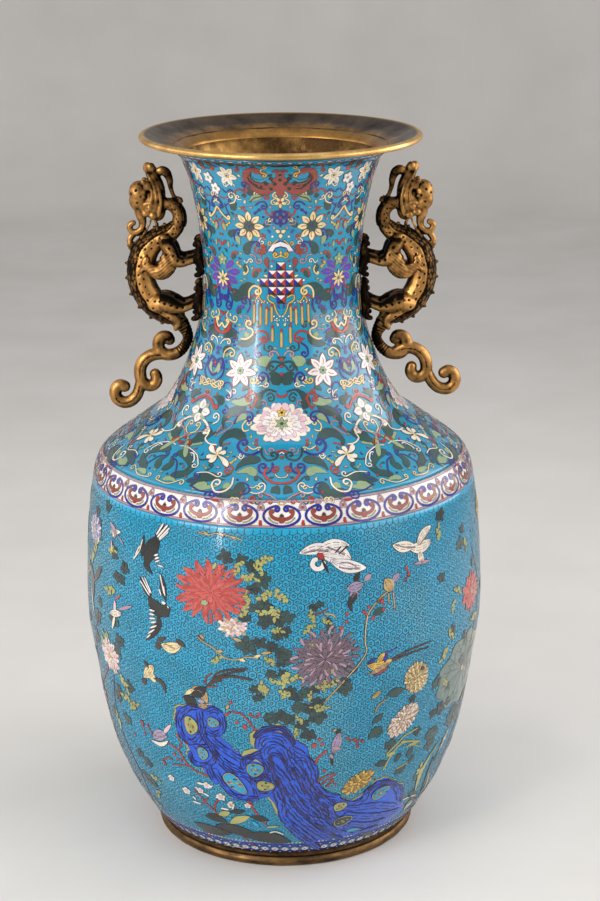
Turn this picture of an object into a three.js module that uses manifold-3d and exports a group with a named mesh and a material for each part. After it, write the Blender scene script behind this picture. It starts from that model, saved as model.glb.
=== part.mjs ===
// A cloisonné floor vase with two cast bronze dragon handles.
// Millimetres, +Z up. The vase axis is Z, the foot stands on z = 0, the front faces -Y,
// and the handles sit on +X and -X.
import * as THREE from 'three';
import { mergeVertices } from 'three/addons/utils/BufferGeometryUtils.js';
import Module from 'manifold-3d';

const wasm = await Module();
wasm.setup();

// ---------------------------------------------------------------- dimensions
const HEIGHT = 1000; // foot to lip
const WALL = 4; // beaten copper with its enamel
const GAP = 0.3; // between pieces that touch
const FLATS = 36; // flats around every turned piece

// Outside of the enamelled body, as [height, radius].
const BODY_OUTLINE = [
  [24, 187], [45, 202], [90, 227], [160, 252], [250, 268], [330, 279], [410, 278],
  [480, 273], [527, 266], [547, 260], [560, 251], [580, 225], [600, 198], [620, 171],
  [645, 152], [680, 134.5], [740, 115], [800, 108.6], [870, 111], [930, 122],
  [965, 133.5], [976, 142.5], [983, 153], [988, 163],
];

// Heights where one piece of the body is soldered to the next.
const RING_TOP = 14;
const COLLAR_TOP = 24;
const FOOT_BAND_TOP = 43;
const BELLY_SEAM = 300;
const BAND_BOTTOM = 527;
const BAND_TOP = 560;
const NECK_BOTTOM = 640;
const NECK_TOP = 985;
const NECK_LEVELS = 13; // steps up the neck

const FOOT_RADIUS = 185;
const FOOT_INSIDE = 170;
const LIP_RADIUS = 191.5;
const LAP_THICKNESS = 3;
const SOLDER = 1.2; // room for solder between a lap ring and the wall
const BASE_HEIGHT = 57; // underside of the base plate
const BASE_THICKNESS = 4;
const LINER_BOTTOM = 900;
const LINER_THICKNESS = 1.5;

// Handles: one stud and nut holds each of the four paws against the neck.
const PAW_DEPTH = 20; // front and back of the middle plane of the handle
const FRONT_PAW_HEIGHT = 831;
const HIND_PAW_HEIGHT = 770;
const STUD_RADIUS = 3;
const STUD_HOLE = 3.3;
const STUD_INNER = 99; // distances from the vase axis
const STUD_OUTER = 122;
const NUT_ACROSS = 10;
const NUT_HEIGHT = 4.5;

// ---------------------------------------------------------------- materials
const enamel = { color: 0x2a9db4, roughness: 0.25, metalness: 0.1 };
const darkEnamel = { color: 0x1d7f95, roughness: 0.25, metalness: 0.1 };
const whiteEnamel = { color: 0xd9d4da, roughness: 0.25, metalness: 0.1 };
const rosetteEnamel = { color: 0x5f7fb0, roughness: 0.25, metalness: 0.1 };
const gilt = { color: 0xb48a45, roughness: 0.35, metalness: 0.9 };
const wornGilt = { color: 0x86653a, roughness: 0.45, metalness: 0.9 };
const darkBronze = { color: 0x4d3c2a, roughness: 0.5, metalness: 0.85 };
const copper = { color: 0x9a6242, roughness: 0.5, metalness: 0.85 };
const steel = { color: 0x8c8c88, roughness: 0.4, metalness: 0.9 };

// ---------------------------------------------------------------- helpers
const vase = new THREE.Group();
vase.name = 'cloisonne_floor_vase';

function clean(geometry) {
  geometry.deleteAttribute('normal');
  geometry.deleteAttribute('uv');
  return mergeVertices(geometry, 1e-4);
}

function toSolid(geometry) {
  const merged = clean(geometry);
  return new wasm.Manifold(new wasm.Mesh({
    numProp: 3,
    vertProperties: new Float32Array(merged.attributes.position.array),
    triVerts: new Uint32Array(merged.index.array),
  }));
}

function toGeometry(solid) {
  const mesh = solid.getMesh();
  const geometry = new THREE.BufferGeometry();
  geometry.setAttribute('position', new THREE.BufferAttribute(mesh.vertProperties, 3));
  geometry.setIndex(new THREE.BufferAttribute(mesh.triVerts, 1));
  geometry.computeVertexNormals();
  return geometry;
}

function largestPiece(solid) {
  const pieces = solid.decompose();
  pieces.sort((a, b) => b.volume() - a.volume());
  return pieces[0];
}

function addPart(name, solid, look) {
  const material = new THREE.MeshStandardMaterial({ ...look, flatShading: true });
  const mesh = new THREE.Mesh(toGeometry(solid), material);
  mesh.name = name;
  vase.add(mesh);
}

// A turned solid from a closed outline of [radius, height] points, counter-clockwise.
function turned(outline) {
  const points = outline.map(([radius, height]) => new THREE.Vector2(radius, height));
  if (outline[0][0] > 0) points.push(points[0].clone());
  const geometry = new THREE.LatheGeometry(points, FLATS);
  geometry.rotateX(Math.PI / 2);
  return toSolid(geometry);
}

// ---------------------------------------------------------------- body surface
const bodySpline = new THREE.SplineCurve(BODY_OUTLINE.map(([z, r]) => new THREE.Vector2(z, r)));
const bodyPoints = bodySpline.getPoints(600);

function outerRadius(z) {
  const next = Math.max(1, bodyPoints.findIndex((point) => point.x >= z));
  const a = bodyPoints[next - 1];
  const b = bodyPoints[next];
  return THREE.MathUtils.mapLinear(z, a.x, b.x, a.y, b.y);
}

function innerRadius(z) {
  const slope = (outerRadius(z + 1) - outerRadius(z - 1)) / 2;
  return outerRadius(z) - WALL * Math.hypot(1, slope);
}

// A ring between two heights, with its outside and inside radius as functions of height.
function ring(bottom, top, levels, outside, inside) {
  const outer = [];
  const inner = [];
  for (let i = 0; i <= levels; i += 1) {
    const z = THREE.MathUtils.lerp(bottom + GAP / 2, top - GAP / 2, i / levels);
    outer.push([outside(z), z]);
    inner.unshift([inside(z), z]);
  }
  return turned([...outer, ...inner]);
}

const shell = (bottom, top, levels) => ring(bottom, top, levels, outerRadius, innerRadius);

// A ring soldered behind a seam, from the inside.
function lapRing(bottom, top, levels) {
  const outside = (z) => innerRadius(z) - SOLDER;
  const inside = (z) => innerRadius(z) - SOLDER - LAP_THICKNESS;
  return ring(bottom, top, levels, outside, inside);
}

// ---------------------------------------------------------------- vessel
addPart('foot_ring', turned([
  [FOOT_INSIDE, 0], [FOOT_RADIUS - 5, 0], [FOOT_RADIUS - 1, 3.5], [FOOT_RADIUS, 7],
  [FOOT_RADIUS - 1, 10.5], [FOOT_RADIUS - 4.5, RING_TOP - GAP], [FOOT_INSIDE, RING_TOP - GAP],
]), gilt);

addPart('foot_collar', turned([
  [FOOT_INSIDE + 4, RING_TOP], [FOOT_RADIUS - 4, RING_TOP], [FOOT_RADIUS - 4.5, 19],
  [FOOT_RADIUS - 1.5, COLLAR_TOP - GAP], [FOOT_INSIDE + 4, COLLAR_TOP - GAP],
]), darkBronze);

addPart('foot_band', shell(COLLAR_TOP, FOOT_BAND_TOP, 2), rosetteEnamel);
addPart('belly_lower', shell(FOOT_BAND_TOP, BELLY_SEAM, 7), enamel);
addPart('belly_upper', shell(BELLY_SEAM, BAND_BOTTOM, 4), enamel);
addPart('shoulder_band', shell(BAND_BOTTOM, BAND_TOP, 4), whiteEnamel);
addPart('shoulder_shell', shell(BAND_TOP, NECK_BOTTOM, 5), darkEnamel);

addPart('foot_lap_ring', lapRing(28, BASE_HEIGHT, 2), copper);
addPart('belly_lap_ring', lapRing(BELLY_SEAM - 15, BELLY_SEAM + 15, 1), copper);
addPart('band_lap_ring', lapRing(BAND_BOTTOM - 14, BAND_BOTTOM + 12, 2), copper);
addPart('shoulder_lap_ring', lapRing(BAND_TOP - 10, BAND_TOP + 10, 2), copper);
addPart('neck_lap_ring', lapRing(NECK_BOTTOM - 14, NECK_BOTTOM + 18, 2), copper);

const baseEdge = innerRadius(BASE_HEIGHT) - SOLDER;
addPart('base_plate', turned([
  [0, BASE_HEIGHT], [baseEdge, BASE_HEIGHT], [baseEdge, BASE_HEIGHT + BASE_THICKNESS],
  [0, BASE_HEIGHT + BASE_THICKNESS],
]), copper);

addPart('mouth_liner', ring(LINER_BOTTOM, NECK_TOP, 5,
  (z) => innerRadius(z) - GAP,
  (z) => innerRadius(z) - GAP - LINER_THICKNESS), wornGilt);

const neckEdge = outerRadius(NECK_TOP);
addPart('mouth_rim', turned([
  [neckEdge, NECK_TOP + GAP], [LIP_RADIUS - 29, 989], [LIP_RADIUS - 16, 991],
  [LIP_RADIUS - 5, 990.5], [LIP_RADIUS - 1, 992.5], [LIP_RADIUS, 996], [LIP_RADIUS - 2, 999],
  [LIP_RADIUS - 5.5, HEIGHT], [LIP_RADIUS - 10, 999], [LIP_RADIUS - 20, 995.5],
  [LIP_RADIUS - 33, 992], [neckEdge - 9, NECK_TOP + GAP],
]), gilt);

// ---------------------------------------------------------------- studs of the handles
// The two paws of a pair sit at the same angle on either side of the handle's middle plane.
function pawAngle(height, side) {
  return side * Math.asin(PAW_DEPTH / outerRadius(height));
}

// A round or hexagonal rod that points away from the vase axis.
function radialRod(radius, from, to, height, side, sides) {
  const geometry = new THREE.CylinderGeometry(radius, radius, to - from, sides);
  geometry.rotateZ(-Math.PI / 2);
  geometry.translate((from + to) / 2, 0, 0);
  geometry.rotateZ(pawAngle(height, side));
  geometry.translate(0, 0, height);
  return toSolid(geometry);
}

const paws = [];
for (const [pair, height] of [['front', FRONT_PAW_HEIGHT], ['hind', HIND_PAW_HEIGHT]]) {
  for (const [near, side] of [['near', -1], ['far', 1]]) {
    paws.push({ pair, near, height, side });
  }
}

const mirrored = (solid) => solid.mirror([1, 0, 0]);

let neck = shell(NECK_BOTTOM, NECK_TOP, NECK_LEVELS);
for (const { height, side } of paws) {
  const hole = radialRod(STUD_HOLE, 95, 125, height, side, 10);
  neck = neck.subtract(hole).subtract(mirrored(hole));
}
addPart('neck_shell', neck, enamel);

// ---------------------------------------------------------------- handle pieces
// Every handle piece is drawn on +X. Its points are [outward, depth, height, radius].

// A tapered bar with rounded ends along a smooth curve. grow makes it thicker all over,
// flatness squeezes its depth.
function bar(stations, grow = 0, sides = 8, steps = 1, flatness = 1) {
  const path = stations.map(([x, y, z]) => new THREE.Vector3(x, y, z));
  const curve = new THREE.CatmullRomCurve3(path, false, 'centripetal');
  const count = (stations.length - 1) * steps;
  const rings = [];
  for (let i = 0; i <= count; i += 1) {
    const t = i / count;
    const place = Math.min(t * (stations.length - 1), stations.length - 1.0001);
    const station = Math.floor(place);
    const a = stations[station][3];
    const b = stations[station + 1][3];
    const radius = THREE.MathUtils.lerp(a, b, place - station) + grow;
    rings.push({ centre: curve.getPoint(t), along: curve.getTangent(t), radius });
  }
  // Two smaller rings round off each end.
  const first = rings[0];
  const last = rings[rings.length - 1];
  const cap = (end, sign, share) => ({
    centre: end.centre.clone().addScaledVector(end.along, sign * end.radius * share),
    along: end.along,
    radius: end.radius * Math.sqrt(1 - share * share),
  });
  rings.unshift(cap(first, -1, 0.7));
  rings.push(cap(last, 1, 0.7));

  const positions = [];
  const depth = new THREE.Vector3(0, 1, 0);
  for (const { centre, along, radius } of rings) {
    const sideways = depth.clone().addScaledVector(along, -depth.dot(along)).normalize();
    const upward = new THREE.Vector3().crossVectors(sideways, along);
    for (let k = 0; k < sides; k += 1) {
      const angle = (2 * Math.PI * k) / sides;
      const point = centre.clone()
        .addScaledVector(sideways, radius * flatness * Math.cos(angle))
        .addScaledVector(upward, radius * Math.sin(angle));
      positions.push(point.x, point.y, point.z);
    }
  }
  const startPole = cap(first, -1, 1).centre;
  const endPole = cap(last, 1, 1).centre;
  positions.push(startPole.x, startPole.y, startPole.z, endPole.x, endPole.y, endPole.z);

  const index = [];
  const poleStart = rings.length * sides;
  for (let k = 0; k < sides; k += 1) {
    const next = (k + 1) % sides;
    for (let i = 0; i < rings.length - 1; i += 1) {
      const a = i * sides + k;
      const b = i * sides + next;
      index.push(a, a + sides, b, b, a + sides, b + sides);
    }
    const top = (rings.length - 1) * sides;
    index.push(poleStart, k, next);
    index.push(poleStart + 1, top + next, top + k);
  }
  const geometry = new THREE.BufferGeometry();
  geometry.setAttribute('position', new THREE.Float32BufferAttribute(positions, 3));
  geometry.setIndex(index);
  return toSolid(geometry);
}

function ball(x, y, z, radiusX, radiusY, radiusZ, grow = 0) {
  const geometry = new THREE.SphereGeometry(1, 10, 6);
  geometry.scale(radiusX + grow, radiusY + grow, radiusZ + grow);
  geometry.translate(x, y, z);
  return toSolid(geometry);
}

// The C-shaped body with the S-shaped neck of the dragon on top.
const torso = (grow) => bar([
  [159, 0, 903, 8], [148, 0, 901, 9], [139.5, 0, 889, 9], [141, 0, 874, 10], [150.5, 0, 863, 12],
  [163, 0, 857, 14], [176, 0, 849, 16], [186, 0, 837, 18], [191, 0, 822, 18.5],
  [192.5, 0, 806, 18.5], [190, 0, 790, 18.5], [182, 0, 774, 18.5], [170, 0, 761, 18],
  [156, 0, 752, 16], [146, 0, 747, 12.5],
], grow, 10, 1, 0.85);

// Head looking down and outward: brow, cheek, mane and the curled nose and lip.
function head(grow) {
  return ball(193, 0, 916, 16, 13, 18, grow)
    .add(ball(173, 0, 902, 14, 12, 21, grow))
    .add(bar([[168, 0, 908, 11], [168, 0, 924, 11], [172, 0, 938, 9.5], [178, 0, 950, 7]], grow))
    .add(bar([
      [186, 0, 902, 10], [189, 0, 889, 7], [192, 0, 877, 5], [198, 0, 868, 4],
      [206, 0, 865, 4], [210, 0, 871, 4], [205, 0, 876, 4],
    ], grow))
    .add(bar([[202, 0, 866, 3], [209, 0, 861, 3.5], [211, 0, 854, 3.5], [206, 0, 849, 3.5]], grow));
}

const maneLock = (grow) => bar([
  [169, 0, 944, 6], [162, 0, 948, 6.5], [155, 0, 945, 6], [151, 0, 935, 4.5],
  [150, 0, 922, 3], [146, 0, 913, 3], [139, 0, 910, 3.5],
], grow, 8, 1, 0.8);

const tailUpper = (grow) => bar([
  [149, 0, 748, 11], [138, 0, 735, 10.5], [130.5, 0, 720, 7.8], [132.5, 0, 709, 7.5],
  [139.5, 0, 699, 8], [150, 0, 692.5, 8.5], [162, 0, 692, 8.5], [170, 0, 699, 8.5],
  [171.5, 0, 709, 8.5], [166.5, 0, 717, 8.2], [159, 0, 717.5, 8], [156, 0, 713, 8],
], grow);

// The tail of the right dragon was cast flatter than that of the left one: its stations are
// turned up round the point where the scroll leaves the tail.
const RIGHT_TAIL_TURN = 11 * Math.PI / 180;
function swung(stations, turn) {
  if (!turn) return stations;
  return stations.map(([x, y, z, r]) => [
    157 + (x - 160) * Math.cos(turn) - (z - 692) * Math.sin(turn), y,
    697 + (x - 160) * Math.sin(turn) + (z - 692) * Math.cos(turn), r,
  ]);
}

const tailMiddle = (grow, turn = 0) => bar(swung([
  [160, 0, 691, 7], [174, 0, 692.5, 8.5], [187, 0, 688, 9], [195.5, 0, 678, 9],
  [198, 0, 665, 8.7], [195, 0, 653, 8.5], [187, 0, 647.5, 8.5], [179, 0, 649, 8.5],
  [175, 0, 657, 8.5], [177, 0, 664, 8],
], turn), grow);

const tailEnd = (grow, turn = 0) => bar(swung([
  [197, 0, 657, 7], [199, 0, 645, 8], [203, 0, 634, 8.3], [211, 0, 626, 8.5],
  [222, 0, 623.5, 8.7], [231, 0, 629.5, 8.7], [233, 0, 640, 8.5], [227.5, 0, 648.5, 8.3],
  [220, 0, 646.5, 8.3],
], turn), grow);

// A point on the outside of the neck, lifted off it, as the start of a bar station.
function onNeck(depth, height, lift) {
  const reach = Math.sqrt((outerRadius(height) + lift) ** 2 - depth ** 2);
  return [reach, depth, height];
}

// Three toes down and one claw up, gripping the neck.
function paw(height, side) {
  const middle = side * PAW_DEPTH;
  let solid = bar([
    [...onNeck(middle, height + 21, 5), 4], [...onNeck(middle, height + 10, 4.5), 5],
    [...onNeck(middle, height, 5), 7], [...onNeck(middle, height - 10, 4.5), 5],
    [...onNeck(middle, height - 21, 5), 4],
  ], 0, 6);
  for (const spread of [-9, 9]) {
    solid = solid.add(bar([
      [...onNeck(middle, height, 4), 5], [...onNeck(middle + spread * 0.7, height - 7, 3), 3.5],
      [...onNeck(middle + spread, height - 15, 1.5), 2.5],
    ], 0, 5));
  }
  return solid;
}

function frontLeg(height, side) {
  const leg = bar([
    [158, side * 10, 853, 8], [152, side * 16, 842, 10], [147, side * 19, 830, 9],
    [137, side * 20, 826, 7.5], [127, side * 20, 829, 6.5], [116, side * 20, height, 6.5],
  ], 0, 7);
  const flame = bar([
    [153, side * 15, 840, 8], [154.5, side * 17, 824, 12], [161.5, side * 17, 814, 12.5],
    [171, side * 17, 812, 9.5], [179, side * 17, 817, 6], [186, side * 16, 822, 5],
  ], 0, 6, 1, 0.6);
  return leg.add(flame);
}

const hindLeg = (height, side) => bar([
  [176, side * 7, 760, 13], [160, side * 14, 766, 13], [147, side * 19, 763, 10],
  [136, side * 20, 762, 7], [127, side * 20, 766, 6], [116, side * 20, height, 6.5],
], 0, 7);

const neckBlank = ring(NECK_BOTTOM, NECK_TOP, NECK_LEVELS,
  (z) => outerRadius(z) + GAP,
  (z) => outerRadius(z) - 2 * WALL);

// One hexagonal nut with its hole, flat against the inside of the neck.
function nut(height, side) {
  const seat = Math.sqrt(innerRadius(height) ** 2 - (NUT_ACROSS * 0.6) ** 2) - GAP - 0.4;
  const hexagon = radialRod(NUT_ACROSS / Math.sqrt(3), seat - NUT_HEIGHT, seat, height, side, 6);
  return hexagon.subtract(radialRod(STUD_HOLE, seat - 10, seat + 5, height, side, 10));
}

const handle = [
  ['dragon_torso', torso(0), wornGilt],
  ['dragon_head', largestPiece(head(0).subtract(torso(GAP))), wornGilt],
  ['dragon_mane_lock', largestPiece(maneLock(0).subtract(head(GAP)).subtract(torso(GAP))), darkBronze],
  ['dragon_tail_upper', largestPiece(tailUpper(0).subtract(torso(GAP))), wornGilt],
];

for (const { pair, near, height, side } of paws) {
  const limb = pair === 'front' ? frontLeg(height, side) : hindLeg(height, side);
  const leg = limb.add(paw(height, side))
    .subtract(torso(GAP))
    .subtract(tailUpper(GAP))
    .subtract(neckBlank)
    .subtract(radialRod(STUD_HOLE, 100, STUD_OUTER + GAP, height, side, 10));
  const stud = radialRod(STUD_RADIUS, STUD_INNER, STUD_OUTER, height, side, 10);
  handle.push([`dragon_${pair}_leg_${near}`, largestPiece(leg), wornGilt]);
  handle.push([`${pair}_stud_${near}`, stud, steel]);
  handle.push([`${pair}_nut_${near}`, nut(height, side), steel]);
}

for (const [name, solid, look] of handle) {
  addPart(`right_${name}`, solid, look);
  addPart(`left_${name}`, mirrored(solid), look);
}

for (const [side, turn] of [['right', RIGHT_TAIL_TURN], ['left', 0]]) {
  const middle = largestPiece(tailMiddle(0, turn).subtract(tailUpper(GAP)));
  const end = largestPiece(tailEnd(0, turn).subtract(tailMiddle(GAP, turn)));
  addPart(`${side}_dragon_tail_middle`, side === 'left' ? mirrored(middle) : middle, wornGilt);
  addPart(`${side}_dragon_tail_end`, side === 'left' ? mirrored(end) : end, wornGilt);
}

export default vase;
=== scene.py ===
# A large cloisonne enamel vase with gilt bronze lip and foot, and two cast dragon handles.
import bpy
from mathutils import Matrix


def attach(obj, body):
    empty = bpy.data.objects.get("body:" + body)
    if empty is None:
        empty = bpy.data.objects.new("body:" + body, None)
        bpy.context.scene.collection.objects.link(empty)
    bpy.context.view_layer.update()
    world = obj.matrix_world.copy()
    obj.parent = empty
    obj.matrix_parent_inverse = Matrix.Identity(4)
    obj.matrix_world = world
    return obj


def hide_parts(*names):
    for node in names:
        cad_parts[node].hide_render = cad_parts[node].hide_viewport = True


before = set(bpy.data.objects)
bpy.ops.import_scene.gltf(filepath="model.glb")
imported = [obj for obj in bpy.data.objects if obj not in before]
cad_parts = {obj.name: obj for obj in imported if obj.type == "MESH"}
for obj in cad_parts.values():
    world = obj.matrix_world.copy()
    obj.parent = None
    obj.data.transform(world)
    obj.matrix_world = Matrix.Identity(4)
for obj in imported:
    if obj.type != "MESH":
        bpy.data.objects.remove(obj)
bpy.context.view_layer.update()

import math

import bpy
import numpy as np
from mathutils import Vector, noise

MM = 0.001

# ------------------------------------------------------------------ body outline
OUTLINE = [
    (24, 187), (45, 202), (90, 227), (160, 252), (250, 268), (330, 279), (410, 278),
    (480, 273), (527, 266), (547, 260), (560, 251), (580, 225), (600, 198), (620, 171),
    (645, 152), (680, 134.5), (740, 115), (800, 108.6), (870, 111), (930, 122),
    (965, 133.5), (976, 142.5), (983, 153), (988, 163),
]
WALL = 4
GAP = 0.3
COLLAR_TOP, FOOT_BAND_TOP, BELLY_SEAM, BAND_BOTTOM, BAND_TOP, NECK_BOTTOM, NECK_TOP = (
    24, 43, 300, 527, 560, 640, 985)


def catmull(points, per_span, closed=False):
    """Uniform Catmull-Rom points through the given ones."""
    p = np.asarray(points, float)
    n = len(p)
    out = []
    for i in range(n if closed else n - 1):
        if closed:
            a, b, c, d = p[(i - 1) % n], p[i], p[(i + 1) % n], p[(i + 2) % n]
        else:
            a, b, c, d = p[max(i - 1, 0)], p[i], p[i + 1], p[min(i + 2, n - 1)]
        t = np.arange(per_span)[:, None] / per_span
        out.append(0.5 * (2 * b + (c - a) * t + (2 * a - 5 * b + 4 * c - d) * t ** 2
                          + (3 * b - a - 3 * c + d) * t ** 3))
    if not closed:
        out.append(p[-1:])
    return np.concatenate(out)


def tangents(line):
    """Unit directions along a line of points."""
    along = np.gradient(line, axis=0)
    return along / np.maximum(np.linalg.norm(along, axis=1), 1e-9)[:, None]


def lengths(line):
    """Distance along a line of points, from its start to each of them."""
    return np.concatenate([[0], np.cumsum(np.linalg.norm(np.diff(line, axis=0), axis=1))])


def toward(a):
    """Unit direction at an angle from straight up, in radians."""
    return np.array([math.sin(a), math.cos(a)])


_fine = catmull(OUTLINE, 40)
Zs = np.linspace(24, 988, 1929)
Rs = np.interp(Zs, _fine[:, 0], _fine[:, 1])
SLOPE = np.gradient(Rs, Zs)
ARC = np.concatenate([[0], np.cumsum(np.hypot(np.diff(Zs), np.diff(Rs)))])


def radius(z):
    return np.interp(z, Zs, Rs)


def arc(z):
    return np.interp(z, Zs, ARC)


def on_body(theta, s, lift):
    """Points on the body: angle from the front (degrees, + towards +X), arc length, lift."""
    theta, s = np.radians(np.asarray(theta, float)), np.asarray(s, float)
    z = np.interp(s, ARC, Zs)
    r = np.interp(z, Zs, Rs)
    k = np.interp(z, Zs, SLOPE)
    n = np.hypot(1, k)
    r = r + lift / n
    z = z - lift * k / n
    return np.stack([r * np.sin(theta), -r * np.cos(theta), z], -1)


def unrolled(p, theta0, z0):
    """(angle, height) places as flat millimetres round (theta0, z0)."""
    return np.stack([np.radians(p[:, 0] - theta0) * radius(z0), arc(p[:, 1]) - arc(z0)], -1)


# ------------------------------------------------------------------ materials
def rgb(text):
    """A hex colour as linear RGBA."""
    v = [int(text[i:i + 2], 16) / 255 for i in (0, 2, 4)]
    return tuple(c / 12.92 if c <= 0.04045 else ((c + 0.055) / 1.055) ** 2.4 for c in v) + (1,)


class Nodes:
    def __init__(self, name):
        self.mat = bpy.data.materials.new(name)
        self.mat.use_nodes = True
        self.tree = self.mat.node_tree
        self.shader = self.tree.nodes["Principled BSDF"]
        self.coord = self.add("ShaderNodeTexCoord").outputs["Object"]

    def add(self, kind, **props):
        node = self.tree.nodes.new(kind)
        for key, value in props.items():
            setattr(node, key, value)
        return node

    def link(self, a, b):
        self.tree.links.new(a, b)

    def noise(self, scale, detail=3.0, rough=0.55, stretch=None, distortion=0.0):
        node = self.add("ShaderNodeTexNoise")
        node.inputs["Scale"].default_value = scale
        node.inputs["Detail"].default_value = detail
        node.inputs["Roughness"].default_value = rough
        node.inputs["Distortion"].default_value = distortion
        source = self.coord
        if stretch:
            mapping = self.add("ShaderNodeMapping")
            mapping.inputs["Scale"].default_value = stretch
            self.link(self.coord, mapping.inputs["Vector"])
            source = mapping.outputs["Vector"]
        self.link(source, node.inputs["Vector"])
        return node.outputs["Fac"]

    def cells(self, scale):
        node = self.add("ShaderNodeTexVoronoi", feature="F1")
        node.inputs["Scale"].default_value = scale
        self.link(self.coord, node.inputs["Vector"])
        return node.outputs["Distance"]

    def span(self, source, a, b, c, d):
        node = self.add("ShaderNodeMapRange")
        for key, value in zip(("From Min", "From Max", "To Min", "To Max"), (a, b, c, d)):
            node.inputs[key].default_value = value
        self.link(source, node.inputs["Value"])
        return node.outputs["Result"]

    def math(self, operation, a, b):
        node = self.add("ShaderNodeMath", operation=operation)
        for i, value in enumerate((a, b)):
            if isinstance(value, (int, float)):
                node.inputs[i].default_value = value
            else:
                self.link(value, node.inputs[i])
        return node.outputs[0]

    def mix(self, fac, a, b, blend="MIX"):
        node = self.add("ShaderNodeMix", data_type="RGBA", blend_type=blend)
        if isinstance(fac, (int, float)):
            node.inputs[0].default_value = fac
        else:
            self.link(fac, node.inputs[0])
        for i, value in ((6, a), (7, b)):
            if isinstance(value, tuple):
                node.inputs[i].default_value = value
            else:
                self.link(value, node.inputs[i])
        return node.outputs[2]

    def bump(self, height, strength, distance):
        node = self.add("ShaderNodeBump")
        node.inputs["Strength"].default_value = strength
        node.inputs["Distance"].default_value = distance
        self.link(height, node.inputs["Height"])
        self.link(node.outputs["Normal"], self.shader.inputs["Normal"])


def enamel(name, light, dark, pits=0.5, rough=(0.16, 0.34), cloud=26.0, bloom=None):
    """Fired glass enamel: clouded colour, fine grain, small pits and a soft polish."""
    m = Nodes(name)
    clouds = m.noise(cloud, 4, 0.6)
    colour = m.mix(m.span(clouds, 0.3, 0.7, 0, 0.9), rgb(light), rgb(dark))
    grain = m.noise(620, 2, 0.6)
    colour = m.mix(m.span(grain, 0.35, 0.75, 0, 0.35), colour, rgb(dark))
    if bloom:
        colour = m.mix(m.span(m.noise(6, 5, 0.62), 0.48, 0.72, 0, 0.38), colour, rgb(bloom))
    pit = m.span(m.cells(240), 0.06, 0.16, pits, 0)
    colour = m.mix(pit, colour, rgb("2b2620"))
    m.link(colour, m.shader.inputs["Base Color"])
    m.link(m.span(clouds, 0.3, 0.7, *rough), m.shader.inputs["Roughness"])
    m.bump(m.math("SUBTRACT", m.noise(180, 3, 0.5), m.math("MULTIPLY", pit, 0.8)), 0.22, 0.0004)
    m.shader.inputs["Coat Weight"].default_value = 0.55
    m.shader.inputs["Coat Roughness"].default_value = 0.09
    return m.mat


def metal(name, light, dark, rough=(0.28, 0.5), scale=60.0, stretch=None, amount=(0.35, 0.65),
          metallic=1.0, wear_light_attribute=None, bump=0.25):
    """Gilt or patinated metal, brighter where a named vertex colour says a place is polished; on the handles
    that vertex colour also holds painted highlight and painted shade.
    """
    m = Nodes(name)
    patches = m.noise(scale, 5, 0.62, stretch)
    grain = m.noise(700, 2, 0.6)
    fac = m.span(patches, amount[0], amount[1], 0, 1)
    fac = m.math("ADD", fac, m.span(grain, 0.35, 0.7, -0.12, 0.12))
    if wear_light_attribute:
        attribute = m.add("ShaderNodeAttribute", attribute_name=wear_light_attribute)
        polish_and_painted_light = m.span(attribute.outputs["Fac"], 0, 1, 1.15, -0.35)
        fac = m.math("ADD", m.math("MULTIPLY", fac, 0.45), polish_and_painted_light)
    node = m.add("ShaderNodeClamp")
    m.link(fac, node.inputs["Value"])
    fac = node.outputs["Result"]
    m.link(m.mix(fac, rgb(light), rgb(dark)), m.shader.inputs["Base Color"])
    m.link(m.span(fac, 0, 1, *rough), m.shader.inputs["Roughness"])
    m.shader.inputs["Metallic"].default_value = metallic
    m.bump(m.math("ADD", m.noise(160, 4, 0.6, stretch), m.math("MULTIPLY", grain, 0.4)), bump,
           0.0005)
    return m.mat


def lip_metal():
    """Dark worn gilding on the flare of the lip; its rolled edge is gilding made bright with a painted
    highlight.
    """
    m = Nodes("lip_gilt")
    split = m.add("ShaderNodeSeparateXYZ")
    m.link(m.coord, split.inputs[0])
    reach = m.math("POWER", m.math("ADD", m.math("POWER", split.outputs[0], 2), m.math(
        "POWER", split.outputs[1], 2)), 0.5)
    patches, grain = m.noise(24, 6, 0.65, (1, 1, 0.6)), m.noise(700, 2, 0.6)
    edge_fac = m.span(m.math("ADD", reach, m.math("MULTIPLY", patches, 0.006)), 0.185, 0.189, 0, 1)
    flare = m.mix(m.span(patches, 0.35, 0.68, 0, 1), rgb("74604c"), rgb("3c2f27"))
    throat_fac = m.span(m.math("ADD", reach, m.math("MULTIPLY", patches, 0.04)), 0.162, 0.18, 0, 1)
    gold = m.mix(m.span(patches, 0.35, 0.7, 0, 1), rgb("c4924e"), rgb("7a5630"))
    flare = m.mix(throat_fac, gold, flare)
    # The rolled edge: gilt colour lightened by a painted highlight.
    roll_painted_highlight = m.mix(m.span(patches, 0.35, 0.7, 0, 1), rgb("f6ca80"), rgb("b88848"))
    colour = m.mix(edge_fac, flare, roll_painted_highlight)
    m.link(m.mix(m.span(grain, 0.4, 0.75, 0, 0.3), colour, rgb("2c2119")),
           m.shader.inputs["Base Color"])
    m.link(m.span(patches, 0.3, 0.7, 0.26, 0.46), m.shader.inputs["Roughness"])
    m.shader.inputs["Metallic"].default_value = 1.0
    m.bump(m.math("ADD", m.noise(140, 4, 0.6), m.math("MULTIPLY", grain, 0.4)), 0.25, 0.0005)
    return m.mat


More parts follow.
